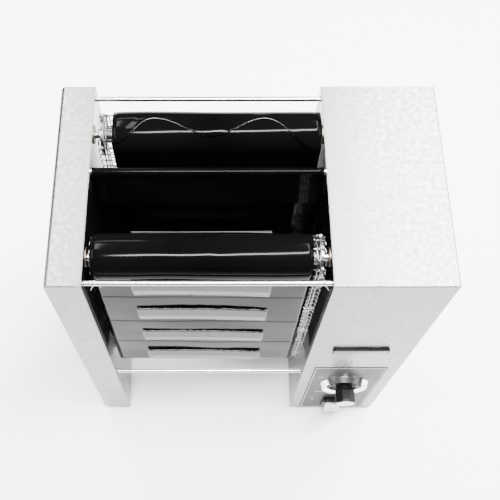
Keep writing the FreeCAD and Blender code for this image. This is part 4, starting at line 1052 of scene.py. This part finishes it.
def knob_shape(middle, front):
    """Round base and eight-sided grip, from the dial outwards."""
    base = corners("dial_plate")[0].y - 0.0006
    tip = front + 0.0010
    sides = 96
    flat = math.pi / 8
    profile = [(0.0030, base, 0), (0.0150, base, 0), (0.0134, base - 0.0030, 0),
               (0.0142, base - 0.0090, 0.5), (0.0160, base - 0.0130, 1), (0.0162, tip + 0.0034, 1),
               (0.0158, tip + 0.0006, 0.8), (0.0150, tip, 0), (0.0030, tip, 0)]
    points = []
    for radius, y, share in profile:
        for k in range(sides):
            turn = 2 * math.pi * (k + 0.5) / sides
            off = (turn + flat) % (2 * flat) - flat
            r = radius * (1 - share + share * min(math.cos(flat) / math.cos(off) * 1.01, 1.0))
            points.append(Vector((middle.x + r * math.cos(turn), y,
                                  middle.z + r * math.sin(turn))))
    return points, ring_faces(len(profile), sides, closed=True)


class TOASTER_OT_switch(ToasterOperator, bpy.types.Operator):
    """Makes the guarded rocker with its on and off marks, and the pilot lamp"""
    bl_idname = "toaster.switch"
    bl_label = "Switch and lamp"

    def make(self, sizes):
        guard = new_object("switch_guard", merged_copy("switch_frame", "switch_guard"),
                           "switch_black")
        soften(guard, 0.0006)
        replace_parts(guard, "switch_frame")
        rocker = new_object("rocker_moulding", merged_copy("switch_rocker", "rocker_moulding"),
                            "rocker_white", "power_rocker")
        soften(rocker, 0.0018, 4)
        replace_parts(rocker, "switch_rocker")
        low, high = corners("switch_rocker")
        for name, text, level in (("rocker_on", "I", 0.72), ("rocker_off", "O", 0.26)):
            spot, tilt = face_towards_front("switch_rocker", (low.x + high.x) / 2,
                                            low.z + (high.z - low.z) * level)
            figure_mesh(name, text, 0.0036, spot, "knob_black", "power_rocker",
                        tilt)
        lamp = centre("pilot_lamp")
        front = corners("control_label_plate")[0].y
        lens = [(0.0002, -0.0040), (0.0018, -0.0038), (0.0030, -0.0030), (0.0035, -0.0018),
                (0.0035, 0.0030), (0.0002, 0.0030)]
        collar = [(0.0035, -0.0010), (0.0036, -0.0016), (0.0041, -0.0014), (0.0045, -0.0006),
                  (0.0045, 0.0), (0.0035, 0.0)]
        lens, collar = (lathe([(radius, front + y) for radius, y in profile], 48, lamp)
                        for profile in (lens, collar))
        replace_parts(solid("lamp_lens", lens, "lamp_lens"), "pilot_lamp")
        solid("lamp_collar", collar, "bright_trim")


def face_towards_front(node, x, z):
    """The point of a node's surface seen from the front at (x, z), and how far it leans."""
    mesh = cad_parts[node].data
    tree = BVHTree.FromPolygons([v.co for v in mesh.vertices], [p.vertices for p in mesh.polygons])
    start = Vector((x, corners(node)[0].y - 0.01, z))
    spot, normal, _, _ = tree.ray_cast(start, Vector((0, 1, 0)))
    return spot, math.atan2(-normal.z, -normal.y)


class TOASTER_OT_panel(ToasterOperator, bpy.types.Operator):
    """Adds the thin lines on the plate behind the controls, and the badge's plain inlay"""
    bl_idname = "toaster.panel"
    bl_label = "Panel and badge"

    def make(self, sizes):
        low, high = corners("control_label_plate")
        inset, half = 0.0028, 0.00030
        front = low.y - 0.00015
        left, right = low.x + inset, high.x - inset
        bottom, top = low.z + inset, high.z - inset
        lines = [flat_bar(x - half, x + half, bottom, top, front) for x in (left, right)]
        lines += [flat_bar(left + half, right - half, z - half, z + half, front)
                  for z in (bottom, top)]
        dial, lamp = centre("dial_plate"), centre("pilot_lamp")
        for place, x0, x1, z0, z1 in ((dial, -0.044, -0.036, 0.0330, 0.0342),
                                      (lamp, -0.034, -0.020, 0.0100, 0.0110),
                                      (lamp, -0.034, -0.031, -0.0400, -0.0370)):
            lines.append(flat_bar(place.x + x0, place.x + x1, place.z + z0, place.z + z1, front))
        solid("panel_lines", merged(lines), "panel_line", smooth=False)
        low, high = corners("badge_plate")
        face = flat_bar(low.x + 0.0022, high.x - 0.0022, low.z + 0.0016, high.z - 0.0022,
                        low.y - 0.0002)
        inlay = solid("badge_inlay", face, "badge_inlay")
        soften(inlay, 0.0001, 1)


class TOASTER_OT_stage(ToasterOperator, bpy.types.Operator):
    """Sets up the pale floor, the soft lights and the camera"""
    bl_idname = "toaster.stage"
    bl_label = "Stage"

    def make(self, sizes):
        scene = bpy.context.scene
        far = 6
        square = [(-far, -far, 0), (far, -far, 0), (far, far, 0), (-far, far, 0)]
        floor = linked("floor", mesh_from("floor", square, [(0, 1, 2, 3)]))
        material = bpy.data.materials.new("pale_floor")
        material.use_nodes = True
        shader = material.node_tree.nodes["Principled BSDF"]
        shader.inputs["Base Color"].default_value = (0.93, 0.93, 0.93, 1)
        shader.inputs["Roughness"].default_value = 0.9
        floor.data.materials.append(material)
        world = bpy.data.worlds.new("studio")
        world.use_nodes = True
        background = world.node_tree.nodes["Background"]
        background.inputs["Color"].default_value = (1, 1, 1, 1)
        background.inputs["Strength"].default_value = 0.10
        scene.world = world
        self.light("key", (0.32, -0.30, 3.0), (0.1, 0, 0.5), 1.9, 0.19, 480)
        self.light("top_left", (-0.95, 1.45, 3.0), (-0.95, 1.2, 0.0), 0.5, 1.7, 150)
        self.light("top_right", (1.02, 1.45, 3.0), (1.02, 1.2, 0.0), 0.8, 1.7, 330)
        self.light("low_back", (-0.9, 2.4, 2.1), (-0.2, 0, 0.5), 1.2, 0.10, 30)
        self.light("left_fill", (-2.4, -0.1, 1.9), (-0.1, -0.2, 0.0), 1.6, 1.6, 100)
        self.light("right_fill", (2.4, -0.1, 1.9), (0.1, -0.2, 0.0), 1.6, 1.6, 100)
        low, high = corners("control_housing_shell")
        data = with_settings(bpy.data.cameras.new("camera"), lens=57.13, sensor_width=36.0,
                             shift_x=0.072, clip_start=0.05)
        scene.camera = with_settings(linked("camera", data),
                                     location=(-0.04325, low.y - 0.334, high.z + 0.838),
                                     rotation_euler=(math.radians(24.4), 0, 0))

    def light(self, name, place, target, width, height, power):
        data = with_settings(bpy.data.lights.new(name, "AREA"), shape="RECTANGLE", size=width,
                             size_y=height, energy=power)
        aim = Vector(target) - Vector(place)
        with_settings(linked(name, data), location=place,
                      rotation_euler=aim.to_track_quat("-Z", "Y").to_euler())


class TOASTER_PT_panel(bpy.types.Panel):
    """Lists the toaster's sizes and colours, and a button for each step"""
    bl_label = "Toaster"
    bl_idname = "TOASTER_PT_panel"
    bl_space_type = "VIEW_3D"
    bl_region_type = "UI"
    bl_category = "Toaster"

    def draw(self, context):
        for group in (context.scene.toaster_sizes, context.scene.toaster_colours):
            for name in group.__annotations__:
                self.layout.prop(group, name)
        for step in STEPS:
            self.layout.operator(step.bl_idname)


STEPS = (TOASTER_OT_stage, TOASTER_OT_finishes, TOASTER_OT_wire_belts, TOASTER_OT_wraps,
         TOASTER_OT_platen_sheet, TOASTER_OT_chain, TOASTER_OT_clips, TOASTER_OT_screws,
         TOASTER_OT_dial, TOASTER_OT_switch, TOASTER_OT_panel)
CLASSES = (ToasterSizes, ToasterColours, *STEPS, TOASTER_PT_panel)


def register():
    for cls in CLASSES:
        bpy.utils.register_class(cls)
    bpy.types.Scene.toaster_sizes = bpy.props.PointerProperty(type=ToasterSizes)
    bpy.types.Scene.toaster_colours = bpy.props.PointerProperty(type=ToasterColours)


def unregister():
    del bpy.types.Scene.toaster_colours
    del bpy.types.Scene.toaster_sizes
    for cls in reversed(CLASSES):
        bpy.utils.unregister_class(cls)


def main():
    register()
    for step in STEPS:
        group, name = step.bl_idname.split(".")
        getattr(getattr(bpy.ops, group), name)()


if __name__ == "__main__":
    main()
